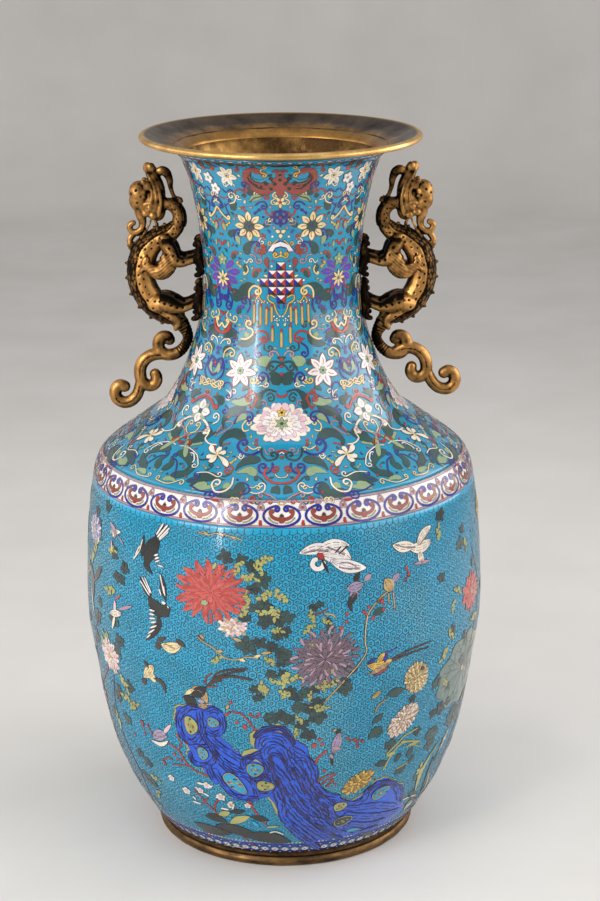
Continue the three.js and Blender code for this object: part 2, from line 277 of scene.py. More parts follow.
ENAMELS = {
    "turquoise": ("04a4d0", "068eb2"),
    "teal": ("0092b8", "0080a2"),
    "cobalt": ("222ca4", "141b74"),
    "rock": ("0f5ede", "0c46bc"),
    "deep": ("0e1660", "080c3c"),
    "green": ("2a5651", "1a3d3a"),
    "leaf": ("2a504e", "1a3836"),
    "black": ("1d2220", "0c100f"),
    "celadon": ("9aae86", "7c946a"),
    "olive": ("b5b56e", "8f9050"),
    "cream": ("f1e0b4", "d3b878"),
    "ivory": ("f4ecde", "d8cab4"),
    "white": ("f6f2ee", "cfc8c4"),
    "pink": ("eacfd2", "c9a3ab"),
    "red": ("c0392f", "9c2622"),
    "coral": ("cc5650", "b04440"),
    "brick": ("9a4238", "7c332d"),
    "yellow": ("ecc657", "c89a35"),
    "tan": ("cdb07a", "a4854e"),
    "ochre": ("b58f3a", "8a6a26"),
    "purple": ("7d6474", "5e4a58"),
    "lilac": ("b0a2bd", "8d7f9c"),
    "violet": ("3d4cc4", "2c3aa2"),
    "grey": ("6b8078", "4f625c"),
    "mauve": ("b79aa8", "94788a"),
    "umber": ("4a362e", "2c1f1b"),
    "darkleaf": ("203f42", "122a2d"),
}
material = {name: enamel("enamel_" + name, *pair) for name, pair in ENAMELS.items()
            if name != "turquoise"}
material["turquoise"] = enamel("enamel_turquoise_ground", *ENAMELS["turquoise"], pits=0.7,
                               bloom="76b2bc")
material["wire"] = metal("gilt_wire", "8a6238", "4a2f1a", (0.3, 0.5), 90)
material["dark_wire"] = metal("oxidised_wire", "6e4630", "33211a", (0.35, 0.55), 90)
material["net_wire"] = metal("net_wire", "4e3d30", "2a201a", (0.4, 0.6), 90, metallic=0.6)
material["gilt"] = metal("worn_gilt", "c08e48", "6a4a26", (0.24, 0.42), 34, (1, 1, 3.0))
material["foot_gilt"] = metal("foot_gilt", "8c6b42", "43352a", (0.34, 0.55), 30, (1, 1, 4.0))
material["inside"] = metal("inner_gilt", "a67d45", "4a3420", (0.32, 0.55), 16, (1, 1, 1),
                           (0.36, 0.6))
material["rim"] = lip_metal()
material["collar"] = metal("dark_bronze", "6b5234", "33271a", (0.35, 0.6), 50, (1, 1, 4.0))
material["copper"] = metal("beaten_copper", "b06f4a", "6b3e28", (0.38, 0.6), 40)
material["steel"] = metal("dull_steel", "a4a39d", "6d6b66", (0.3, 0.5), 120)
material["handle"] = metal("handle_bronze", "bb8a50", "1a130d", (0.36, 0.6), 80, None,
                           (0.3, 0.7), 1.0, "wear_and_painted_light", 0.3)


# ------------------------------------------------------------------ mesh helpers
def put(name, data):
    """A new object in the scene."""
    piece = bpy.data.objects.new(name, data)
    bpy.context.scene.collection.objects.link(piece)
    return piece


def make(name, verts, faces, mat, nodes=()):
    """One piece from points in millimetres."""
    mesh = bpy.data.meshes.new(name)
    verts = np.asarray(verts, float) * MM
    faces = np.asarray(faces)
    mesh.vertices.add(len(verts))
    mesh.vertices.foreach_set("co", verts.ravel())
    sizes = np.full(len(faces), faces.shape[1])
    if faces.shape[1] == 4:
        sizes = np.where(faces[:, 3] < 0, 3, 4)
    flat = faces[faces >= 0]
    mesh.loops.add(len(flat))
    mesh.loops.foreach_set("vertex_index", flat.astype(np.int32))
    mesh.polygons.add(len(faces))
    starts = np.concatenate([[0], np.cumsum(sizes)[:-1]])
    mesh.polygons.foreach_set("loop_start", starts.astype(np.int32))
    mesh.polygons.foreach_set("use_smooth", np.full(len(faces), True))
    mesh.update(calc_edges=True)
    mesh.validate()
    piece = put(name, mesh)
    mesh.materials.append(mat)
    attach(piece, "root")
    if nodes:
        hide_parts(*nodes)
    return piece


def lathe(name, outline, mat, nodes, around=256, hammer=0.0):
    """A turned closed body from (radius, height) points, counter-clockwise in section."""
    p = np.asarray(outline, float)
    a = np.arange(around) * 2 * np.pi / around
    r = np.repeat(p[:, :1], around, 1)
    z = np.repeat(p[:, 1:], around, 1)
    if hammer:
        wob = np.array([[noise.noise(Vector((math.cos(t) * 9, math.sin(t) * 9, h * 0.02)))
                         for t in a] for h in p[:, 1]])
        r = r + hammer * wob
    verts = np.stack([r * np.sin(a), -r * np.cos(a), z], -1).reshape(-1, 3)
    n = len(p)
    i, j = np.meshgrid(np.arange(n), np.arange(around), indexing="ij")
    i2, j2 = (i + 1) % n, (j + 1) % around
    faces = np.stack([i * around + j, i * around + j2, i2 * around + j2, i2 * around + j], -1)
    return make(name, verts, faces.reshape(-1, 4), mat, nodes)


def wall(z0, z1, step=5.0):
    """Section of the enamelled wall between two heights."""
    z0, z1 = z0 + 0.02, z1 - 0.02
    zs = np.linspace(z0, z1, max(3, int((z1 - z0) / step)))
    outer = [(radius(z), z) for z in zs]
    slope = np.interp(zs, Zs, SLOPE)
    inner = [(radius(z) - WALL * math.hypot(1, k), z) for z, k in zip(zs, slope)][::-1]
    return outer + inner


# ------------------------------------------------------------------ vessel
lathe("belly_ground", wall(FOOT_BAND_TOP, BAND_BOTTOM), material["turquoise"],
      ["belly_lower", "belly_upper"])
lathe("foot_band_ground", wall(COLLAR_TOP, FOOT_BAND_TOP, 3), material["cobalt"],
      ["foot_band"])
lathe("shoulder_band_ground", wall(BAND_BOTTOM, BAND_TOP, 3), material["white"],
      ["shoulder_band"])
lathe("shoulder_ground", wall(BAND_TOP, NECK_TOP, 4), material["teal"],
      ["shoulder_shell", "neck_shell"])

ring_outline = catmull([(170, 0.2), (179, 0), (183.2, 1.6), (185, 5.5), (184.8, 8.6), (183, 11.6),
                        (180, 13.5), (170, 13.7)], 6)
lathe("foot_ring_cast", [(170, 0), *map(tuple, ring_outline[1:-1]), (170, 13.7)],
      material["foot_gilt"], ["foot_ring"], hammer=0.35)
lathe("foot_collar_cast", [(174, 14), (181, 14), (181.6, 15.4), (180.4, 17.2), (180.6, 20),
                           (183, 22.2),
                           (183.5, 23.7), (174, 23.7)],
      material["collar"], ["foot_collar"], hammer=0.3)

edge = radius(NECK_TOP)
throat = radius(972) - 7.2
upper = catmull([(throat, 972), (throat + 4, 978), (edge - 7, 986.5), (edge + 4, 990),
                 (172, 994.8), (182, 998.8),
                 (186, 1000), (189.5, 999), (191.5, 996), (190.9, 993.2), (187.5, 991),
                 (182, 990.6),
                 (176, 991), (169, 989.4), (edge + 4, 986.4), (edge, 985.4), (edge - 5, 984),
                 (edge - 12, 977)], 5)
lathe("mouth_rim_cast", upper[::-1], material["rim"], ["mouth_rim"], 320, 0.3)
liner_z = np.linspace(900, 984.7, 22)
liner_slope = np.interp(liner_z, Zs, SLOPE)
inner = [(radius(z) - WALL * math.hypot(1, k) - GAP, z) for z, k in zip(liner_z, liner_slope)]
lathe("mouth_liner_skin", inner + [(r - 1.5, z) for r, z in inner][::-1], material["inside"],
      ["mouth_liner"], 256, 0.5)

for name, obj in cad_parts.items():
    if name.endswith("lap_ring") or name == "base_plate":
        obj.data.materials.clear()
        obj.data.materials.append(material["copper"])
    elif "stud" in name or "nut" in name:
        obj.data.materials.clear()
        obj.data.materials.append(material["steel"])


# ------------------------------------------------------------------ dragon handles
LOOP_CENTRE = np.array([165, 0, 812])  # middle of the loop that the body of a dragon makes
FRONT_PAW_HEIGHT, HIND_PAW_HEIGHT = 831, 770
RIGHT_TAIL_TURN = math.radians(11)
VOXEL, QUICK_VOXEL = 1.25, 2.2
HANDLE_FACES = 90000
GOLDEN_ANGLE = 2.399963
TORSO = [(159, 0, 903, 8), (148, 0, 901, 9), (139.5, 0, 889, 9), (141, 0, 874, 10),
         (150.5, 0, 863, 12), (163, 0, 857, 14), (176, 0, 849, 16), (186, 0, 837, 18),
         (191, 0, 822, 18.5), (192.5, 0, 806, 18.5), (190, 0, 790, 18.5), (182, 0, 774, 18.5),
         (170, 0, 761, 18), (156, 0, 752, 16), (146, 0, 747, 12.5)]
TAIL_UPPER = [(149, 0, 748, 11), (138, 0, 735, 10.5), (130.5, 0, 720, 7.8), (132.5, 0, 709, 7.5),
              (139.5, 0, 699, 8), (150, 0, 692.5, 8.5), (162, 0, 692, 8.5), (170, 0, 699, 8.5),
              (171.5, 0, 709, 8.5), (166.5, 0, 717, 8.2), (159, 0, 717.5, 8), (156, 0, 713, 8)]
TAIL_MIDDLE = [(160, 0, 691, 7), (174, 0, 692.5, 8.5), (187, 0, 688, 9), (195.5, 0, 678, 9),
               (198, 0, 665, 8.7), (195, 0, 653, 8.5), (187, 0, 647.5, 8.5), (179, 0, 649, 8.5),
               (175, 0, 657, 8.5), (177, 0, 664, 8)]
TAIL_END = [(197, 0, 657, 7), (199, 0, 645, 8), (203, 0, 634, 8.3), (211, 0, 626, 8.5),
            (222, 0, 623.5, 8.7), (231, 0, 629.5, 8.7), (233, 0, 640, 8.5),
            (227.5, 0, 648.5, 8.3), (220, 0, 646.5, 8.3)]
MANE_LOCK = [(169, 0, 944, 5), (162, 0, 948, 6.5), (155, 0, 945, 6.5), (151, 0, 936, 5),
             (149.5, 0, 924, 3.4), (146, 0, 914, 2.8), (141, 0, 910, 3), (137.5, 0, 908.5, 3.8)]


def swung(stations, turn):
    """Tail stations turned up round the place where the scroll leaves the tail."""
    if not turn:
        return stations
    c, s = math.cos(turn), math.sin(turn)
    return [(157 + (x - 160) * c - (z - 692) * s, y, 697 + (x - 160) * s + (z - 692) * c, r)
            for x, y, z, r in stations]


def tube(stations, flat=1.0, sides=18, step=2.0):
    """A closed tapered tube with round ends along a smooth line of (x, y, z, radius)."""
    line = catmull(stations, 12)
    gap = lengths(line[:, :3])
    t = np.linspace(0, gap[-1], max(3, int(gap[-1] / step)))
    line = np.stack([np.interp(t, gap, line[:, k]) for k in range(4)], -1)
    centre, rad = line[:, :3], line[:, 3]
    along = tangents(centre)
    caps = np.sin(np.linspace(0, 1, 5)[:-1] * np.pi / 2)
    first = [(centre[0] - along[0] * rad[0] * math.sqrt(1 - c * c), along[0], rad[0] * c)
             for c in caps]
    last = [(centre[-1] + along[-1] * rad[-1] * math.sqrt(1 - c * c), along[-1], rad[-1] * c)
            for c in caps[::-1]]
    rings = first + list(zip(centre, along, rad)) + last
    a = np.arange(sides) * 2 * np.pi / sides
    verts = []
    for c, d, r in rings:
        side = np.array([0, 1, 0]) - d * d[1]
        side /= max(np.linalg.norm(side), 1e-6)
        up = np.cross(side, d)
        verts.append(c + max(r, 0.01) * (np.cos(a)[:, None] * side * flat + np.sin(a)[:, None]
                                         * up))
    verts = np.concatenate(verts)
    n = len(rings)
    i, j = np.meshgrid(np.arange(n - 1), np.arange(sides), indexing="ij")
    j2 = (j + 1) % sides
    faces = np.stack([i * sides + j, i * sides + j2, (i + 1) * sides + j2, (i + 1) * sides + j],
                     -1)
    ends = np.array([list(range(sides))[::-1], list(range((n - 1) * sides, n * sides))])
    return verts, [list(f) for f in faces.reshape(-1, 4)] + [list(e) for e in ends]


def blob3(x, y, z, rx, ry, rz):
    """An ellipsoid."""
    la = np.linspace(-np.pi / 2, np.pi / 2, 13)[1:-1]
    lo = np.arange(20) * 2 * np.pi / 20
    la, lo = np.meshgrid(la, lo, indexing="ij")
    v = np.stack([x + rx * np.cos(la) * np.cos(lo), y + ry * np.cos(la) * np.sin(lo),
                  z + rz * np.sin(la)], -1).reshape(-1, 3)
    faces = []
    for i in range(10):
        for j in range(20):
            faces.append([i * 20 + j, i * 20 + (j + 1) % 20, (i + 1) * 20 + (j + 1) % 20,
                          (i + 1) * 20 + j])
    faces.append(list(range(20))[::-1])
    faces.append(list(range(200, 220)))
    return v, faces


def on_neck(depth, height, lift):
    return math.sqrt((radius(height) + lift) ** 2 - depth ** 2), depth, height


def dragon_parts(turn):
    """Closed lumps that melt together into one casting, for the handle on +X."""
    parts = [tube(TORSO, 0.85), tube(TAIL_UPPER, 0.9), tube(swung(TAIL_MIDDLE, turn), 0.9),
             tube(swung(TAIL_END, turn), 0.9), tube(MANE_LOCK, 0.75)]
    # Skull: bulging brow, cheeks, snout that ends in a curled trunk, and a second curl below.
    parts += [blob3(193, 0, 918, 14, 13, 17), blob3(195, 0, 908, 12, 12, 15),
              blob3(175, 0, 902, 14, 12, 20), blob3(168, 0, 893, 11, 10, 14)]
    parts += [tube([(190, 0, 900, 11), (191, 0, 889, 8), (189, 0, 878, 5.5), (191, 0, 869, 4.6),
                    (198, 0, 864, 4.4), (205, 0, 866, 4.2), (207, 0, 873, 4.2),
                    (202, 0, 876.5, 4.4)]),
              tube([(200, 0, 863, 3.5), (206, 0, 857, 3.6), (208, 0, 851, 3.6), (205, 0, 846, 3.4),
                    (200, 0, 846, 3)])]
    parts += [tube([(168, 0, 905, 11), (168, 0, 922, 11), (172, 0, 937, 9.5), (178, 0, 949, 7)],
                   0.9),
              blob3(176, -4, 953, 6.5, 5, 7), blob3(181, 4, 952, 6.5, 5, 7.5),
              blob3(174, 5, 948, 6, 4.5, 7)]
    for s in (-1, 1):
        parts += [
            blob3(181, s * 9, 929, 6, 4.5, 6.5), blob3(186, s * 9.5, 934, 4, 3, 4),
            blob3(178, s * 10, 899, 4.2, 3.4, 4.2), blob3(184, s * 9, 891, 5.5, 4, 5),
            blob3(174, s * 9, 887, 5.5, 4, 5.5), blob3(187, s * 10, 914, 5, 3.5, 3),
            tube([(184, s * 9, 904, 2), (179, s * 10.5, 905.5, 2), (174, s * 10.5, 902, 2),
                  (172, s * 10, 896, 1.8)]),
            tube([(167, s * 8, 888, 2.6), (163, s * 9, 903, 2.8), (165, s * 8.5, 920, 2.8),
                  (171, s * 6.5, 936, 2.6), (178, s * 4, 948, 2.2)]),
            tube([(171, s * 9.5, 900, 2.4), (169, s * 10, 914, 2.6), (173, s * 8.5, 930, 2.4),
                  (180, s * 5.5, 943, 2)]),
            tube([(176, s * 10, 908, 2), (175, s * 9.5, 920, 2.2), (179, s * 8, 934, 2)]),
            tube([(172, s * 4, 880, 1.8), (169, s * 5, 872, 1.6), (171, s * 6, 862, 1.5),
                  (177, s * 7, 855, 1.5), (180, s * 8, 857, 1.6)]),
            tube([(178, s * 5, 879, 1.8), (182, s * 8, 870, 1.5), (188, s * 10, 862, 1.4),
                  (191, s * 11, 858, 1.6)]),
        ]
        # Fore leg with its flame, hind leg, and the clawed paws flat on the neck.
        parts += [
            tube([(160, s * 9, 855, 9), (152, s * 16, 843, 10.5), (146, s * 19, 830, 9.5),
                  (137, s * 20, 826, 7.5), (127, s * 20, 828, 6.2), (116, s * 20, 831, 6.4)]),
            tube([(153, s * 15, 840, 9), (154.5, s * 17.5, 824, 12.5), (161.5, s * 17.5, 814, 13),
                  (171, s * 17.5, 812, 10), (179, s * 17.5, 817, 6.5), (186, s * 17, 822, 5.6),
                  (184, s * 17, 829, 4.6)], 0.6),
            tube([(180, s * 17.5, 818, 3), (188, s * 17.5, 816, 3), (192, s * 17, 812, 2.2)], 0.7),
            tube([(178, s * 6, 762, 13), (162, s * 13, 768, 13), (149, s * 18.5, 765, 10.5),
                  (137, s * 20, 762, 7), (127, s * 20, 765, 5.8), (116, s * 20, 770, 6.4)]),
            tube([(163, s * 12, 757, 8), (151, s * 15, 750, 7), (143, s * 14, 741, 5.5),
                  (146, s * 13, 732, 4)]),
        ]
        for height in (FRONT_PAW_HEIGHT, HIND_PAW_HEIGHT):
            y = s * 20
            parts.append(tube([
                (*on_neck(y, height + 19, 10), 3.6), (*on_neck(y, height + 23, 5.5), 4.2),
                (*on_neck(y, height + 16, 4), 4.6), (*on_neck(y, height + 7, 5), 6),
                (*on_neck(y, height - 3, 5.5), 7), (*on_neck(y, height - 12, 4.6), 5),
                (*on_neck(y, height - 21, 4.6), 4.4), (*on_neck(y, height - 23, 9.5), 3.6)], 0.95))
            for spread in (-8, 8):
                parts.append(tube([
                    (*on_neck(y, height + 2, 4), 4.4),
                    (*on_neck(y + spread * 0.8, height - 7, 3.2), 3.3),
                    (*on_neck(y + spread, height - 15, 1.8), 2.4),
                    (*on_neck(y + spread, height - 18, 4), 1.6)]))
    # Spikes of the spine.
    line = catmull(TORSO, 12)
    along = tangents(line[:, :3])
    out = np.cross(along, [0, 1, 0])
    for place in (50, 62, 75, 87, 99, 111, 123, 134, 145, 155):
        c, o, r = line[place, :3], out[place], line[place, 3]
        if (c + o * r - LOOP_CENTRE) @ o < 0:
            o = -o
        parts.append(tube([(*(c + o * (r - 3)), 2.6), (*(c + o * (r + 1)), 1.9),
                           (*(c + o * (r + 3.4)), 0.8)]))
    return parts


def near_line(points, stations, samples=8):
    """Nearest place on a line of stations: distance, arc length, offset, tangent, radius."""
    line = catmull(stations, samples)
    gap = lengths(line[:, :3])
    along = tangents(line[:, :3])
    best = np.zeros(len(points), int)
    for lo in range(0, len(points), 20000):
        chunk = points[lo:lo + 20000]
        d = ((chunk[:, None, :] - line[None, :, :3]) ** 2).sum(-1)
        best[lo:lo + 20000] = d.argmin(1)
    off = points - line[best, :3]
    slide = (off * along[best]).sum(1)
    return np.linalg.norm(off, axis=1), gap[best] + slide, off, along[best], line[best, 3]


def step(x, a, b):
    t = np.clip((x - a) / (b - a), 0, 1)
    return t * t * (3 - 2 * t)


def sculpt_handle(name, turn):
    verts, faces, base = [], [], 0
    for v, f in dragon_parts(turn):
        verts.append(v)
        faces += [[i + base for i in face] for face in f]
        base += len(v)
    mesh = bpy.data.meshes.new("casting")
    mesh.from_pydata((np.concatenate(verts) * MM).tolist(), [], faces)
    lump = put("casting", mesh)
    remesh = lump.modifiers.new("remesh", "REMESH")
    remesh.mode = "VOXEL"
    remesh.voxel_size = VOXEL * MM
    smooth = lump.modifiers.new("smooth", "SMOOTH")
    smooth.iterations = 3
    smooth.factor = 0.5
    done = bpy.data.meshes.new_from_object(
        lump.evaluated_get(bpy.context.evaluated_depsgraph_get()))
    bpy.data.objects.remove(lump)

    n = len(done.vertices)
    p = np.zeros(n * 3, np.float32)
    done.vertices.foreach_get("co", p)
    p = p.reshape(-1, 3).astype(float) / MM
    nor = np.zeros(n * 3, np.float32)
    done.vertices.foreach_get("normal", nor)
    nor = nor.reshape(-1, 3).astype(float)

    dist, s, off, along, rad = near_line(p, TORSO)
    on_torso = (dist < rad * 1.25 + 3) & (s > 2)
    outward = np.cross(along, np.array([0, 1, 0]))
    flip = np.sign((outward * (p - off - LOOP_CENTRE)).sum(1))
    outward *= np.where(flip == 0, 1, flip)[:, None]
    angle = np.degrees(np.arctan2(off[:, 1], (off * outward).sum(1)))  # 0 on the spine
    move = np.zeros(n)
    wear_and_painted_light = np.full(n, 0.62)

    def punch(spot, depth, tone):
        """A hollow that is also darker."""
        nonlocal move, wear_and_painted_light
        move -= spot * depth
        wear_and_painted_light -= spot * tone

    # Scaled back: overlapping rows of small plates.
    spine = on_torso & (s > 12)
    width = 44 + 14 * step(s, 40, 90)
    inside = spine * (1 - step(np.abs(angle), width, width + 10))
    row = s / 6.6
    across = np.abs(angle) / 19 + 0.5 * (np.floor(row) % 2)
    u, v = row % 1, across % 1
    plate = np.sqrt(np.clip(1 - ((u - 0.5) * 1.25) ** 2 - ((v - 0.5) * 1.5) ** 2, 0, 1))
    move += inside * (1.2 * plate - 0.6)
    ridge = spine * np.exp(-(angle / 9) ** 2)
    move += ridge * 1.4
    wear_and_painted_light = np.where(inside > 0.05, wear_and_painted_light * (1 - inside) + inside * (0.04 + 0.27 * plate), wear_and_painted_light)
    groove = spine * np.exp(-((np.abs(angle) - width - 6 - 2.5 * np.sin(s * 0.24)) / 5.5) ** 2)
    punch(groove, 0.6, 0.24)

    # Punched spots in staggered rows along the flanks, brow and thighs.
    flank = on_torso & (s > 45) & (np.abs(angle) > width + 10) & (np.abs(angle) < 150)
    wear_and_painted_light = np.where(flank, 0.92, wear_and_painted_light)
    for rows, pitch, first in ((80, 12, 0), (104, 12, 6)):
        d1 = (np.abs(angle) - rows) / 57.3 * rad
        d2 = (s - first + pitch / 2) % pitch - pitch / 2
        spot = flank * np.exp(-((d1 ** 2 + d2 ** 2) / 1.7 ** 2) ** 1.5)
        punch(spot, 0.9, 0.8)
    neck = on_torso & (s <= 60)
    wear_and_painted_light = np.where(neck, np.minimum(wear_and_painted_light, 0.34 + 0.3 * step(s, 35, 60)), wear_and_painted_light)
    for first in (0, 6):
        d1 = (np.abs(angle) - 95 - first * 4) / 57.3 * rad
        d2 = (s - first + 4.5) % 9 - 4.5
        spot = neck * np.exp(-((d1 ** 2 + d2 ** 2) / 1.2 ** 2) ** 1.5)
        punch(spot, 0.8, 0.25)

    def paint(centre, size, value, soft):
        nonlocal wear_and_painted_light
        d = np.linalg.norm(p - np.array(centre), axis=1)
        f = 1 - step(d, size, size + soft)
        wear_and_painted_light = wear_and_painted_light * (1 - f) + value * f

    near_neck = np.hypot(p[:, 0], p[:, 1])
    brow = np.linalg.norm((p - [193, 0, 915]) / [15, 14, 19], axis=1) < 1.25
    wear_and_painted_light = np.where(brow, 0.66, wear_and_painted_light)
    for i in range(26):
        a, b = i * GOLDEN_ANGLE, math.acos(1 - 2 * (i + 0.5) / 26)
        c = np.array([193 + 14 * math.sin(b) * math.cos(a), 13 * math.cos(b),
                      916 + 17 * math.sin(b) * math.sin(a)])
        if c[0] < 187:
            continue
        d = np.linalg.norm(p - c, axis=1)
        spot = np.exp(-(d / 2.0) ** 3)
        punch(spot, 0.8, 0.55)
    paint((176, 0, 935), 12, 0.4, 8)
    paint((189, 0, 886), 6, 0.75, 6)
    lock = near_line(p, MANE_LOCK)
    wear_and_painted_light = np.where((lock[0] < 9) & (p[:, 0] < 163) & (p[:, 2] > 906), 0.22, wear_and_painted_light)
    for stations, tone in ((TAIL_UPPER, 0.46), (swung(TAIL_MIDDLE, turn), 0.76),
                           (swung(TAIL_END, turn), 0.74)):
        t = near_line(p, stations)
        on = (t[0] < t[4] + 3) & (p[:, 2] < 742)
        # Painted light on the tail: faces turned up and outwards, away from the neck, are made brighter and the
        # others darker.
        lit = 0.5 + 0.5 * np.clip(nor[:, 2] * 0.4 + nor[:, 0] * 0.9, -1, 1)
        wear_and_painted_light = np.where(on, tone * (0.55 + 0.6 * lit), wear_and_painted_light)
        if stations is TAIL_UPPER:
            ribs = on & (t[1] < 62)
            inner = np.exp(-(((t[1] % 4.2) - 2.1) / 0.8) ** 2)
            punch(ribs * inner, 0.7, 0.15)
        else:
            # A groove along the middle of each side.
            side = np.abs(t[2][:, 1]) > t[4] * 0.55
            mid = np.abs((t[2] * np.cross(t[3], [0, 1, 0])).sum(1)) < 1.1
            punch(on & side & mid & (t[1] > 8) & (t[1] < 60), 0.5, 0.2)
    # Legs: bright below and outside, nearly black on top, paws dark.
    leg = (np.abs(p[:, 1]) > 9) & (p[:, 0] < 168) & (p[:, 2] > 752) & (p[:, 2] < 858)
    low = 0.62 - 0.5 * step(nor[:, 2], -0.1, 0.55)
    wear_and_painted_light = np.where(leg, low, wear_and_painted_light)
    flame = (np.abs(p[:, 1]) > 16) & (p[:, 0] > 148) & (p[:, 2] < 842) & (p[:, 2] > 802) & (p[:,
            0] < 196)
    wear_and_painted_light = np.where(flame, 0.66, wear_and_painted_light)
    hair = flame * (0.5 + 0.5 * np.sin((p[:, 0] * 0.55 + p[:, 2] * 0.85 + 1.5
                                        * np.sin(p[:, 0] * 0.2)) * 1.5))
    punch(hair, 0.3, 0.08)
    for cx, cz in ((152, 846), (147, 836), (157, 837), (141, 829), (160, 769), (151, 767),
                   (143, 764),
                   (168, 772), (133, 827), (135, 764)):
        d = np.hypot(p[:, 0] - cx, p[:, 2] - cz)
        spot = np.exp(-(d / 1.7) ** 3) * (np.abs(nor[:, 1]) > 0.4) * (np.abs(p[:, 1]) > 9)
        punch(spot, 0.9, 0.5)
    wear_and_painted_light = np.where(near_neck < radius(p[:, 2]) + 14, np.minimum(wear_and_painted_light, 0.07), wear_and_painted_light)
    # Painted shade on the inner side of the loop, which faces the neck; soft variation everywhere.
    inward_painted_shade = step(-(nor[:, 0]), 0.1, 0.8) * (np.abs(nor[:, 1]) < 0.75)
    wear_and_painted_light -= inward_painted_shade * 0.4
    lumpy = np.array([noise.fractal(Vector(q * 0.09), 1.0, 2.0, 3) for q in p])
    wear_and_painted_light += lumpy * 0.22
    move += lumpy * 0.35
    p = p + nor * move[:, None]
    # Keep clear of the neck.
    reach = np.hypot(p[:, 0], p[:, 1])
    floor_r = radius(p[:, 2]) + 0.5
    tight = (reach < floor_r) & (p[:, 2] < 984)
    p[tight, :2] *= (floor_r[tight] / reach[tight])[:, None]

    done.vertices.foreach_set("co", (p * MM).astype(np.float32).ravel())
    # Hollows darker, ridges brighter.
    edges = np.zeros(len(done.edges) * 2, np.int32)
    done.edges.foreach_get("vertices", edges)
    edges = edges.reshape(-1, 2)
    mean = np.zeros_like(p)
    count = np.zeros(n)
    for a, b in ((0, 1), (1, 0)):
        np.add.at(mean, edges[:, a], p[edges[:, b]])
        np.add.at(count, edges[:, a], 1)
    mean /= np.maximum(count, 1)[:, None]
    bend = ((p - mean) * nor).sum(1)
    for _ in range(2):
        smoothed = np.zeros(n)
        for a, b in ((0, 1), (1, 0)):
            np.add.at(smoothed, edges[:, a], bend[edges[:, b]])
        bend = 0.5 * bend + 0.5 * smoothed / np.maximum(count, 1)
    wear_and_painted_light = np.clip(wear_and_painted_light + np.clip(bend * 2.8, -0.55, 0.14), 0, 1)
    layer = done.attributes.new("wear_and_painted_light", "FLOAT_COLOR", "POINT")
    colours = np.ones((n, 4), np.float32)
    colours[:, :3] = wear_and_painted_light[:, None]
    layer.data.foreach_set("color", colours.ravel())
    for polygon in done.polygons:
        polygon.use_smooth = True

    holder = put(name, done)
    thin = holder.modifiers.new("thin", "DECIMATE")
    thin.ratio = min(1, HANDLE_FACES / max(1, 2 * len(done.polygons)))
    final = bpy.data.meshes.new_from_object(
        holder.evaluated_get(bpy.context.evaluated_depsgraph_get()))
    holder.modifiers.clear()
    holder.data = final
    final.materials.clear()
    final.materials.append(material["handle"])
    return holder


NODES = sorted(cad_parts)
right = sculpt_handle("right_dragon_handle", RIGHT_TAIL_TURN)
left = sculpt_handle("left_dragon_handle", 0)
co = np.zeros(len(left.data.vertices) * 3, np.float32)
left.data.vertices.foreach_get("co", co)
co[::3] *= -1
left.data.vertices.foreach_set("co", co)
left.data.flip_normals()
for piece, side in ((right, "right"), (left, "left")):
    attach(piece, "root")
    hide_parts(*[n for n in NODES if n.startswith(side + "_dragon")])

# ------------------------------------------------------------------ cloisonne drawing
EIGHT = [(90 * k, m) for k in range(4) for m in (1, -1)]
FOUR = [(90 * k, 1) for k in range(4)]
DIAGONAL = [(45 + 90 * k, 1) for k in range(4)]
FRONT_BACK = [(0, 1), (180, -1)]


TAKEN = []  # places in one eighth that already carry a drawing
GROUND_LIFT, LAYER_STEP, WIRE_DROP = 0.28, 0.17, 0.07  # millimetres off the body
PLUMAGE = ("ivory", "white", "cream", "tan", "yellow", "lilac")


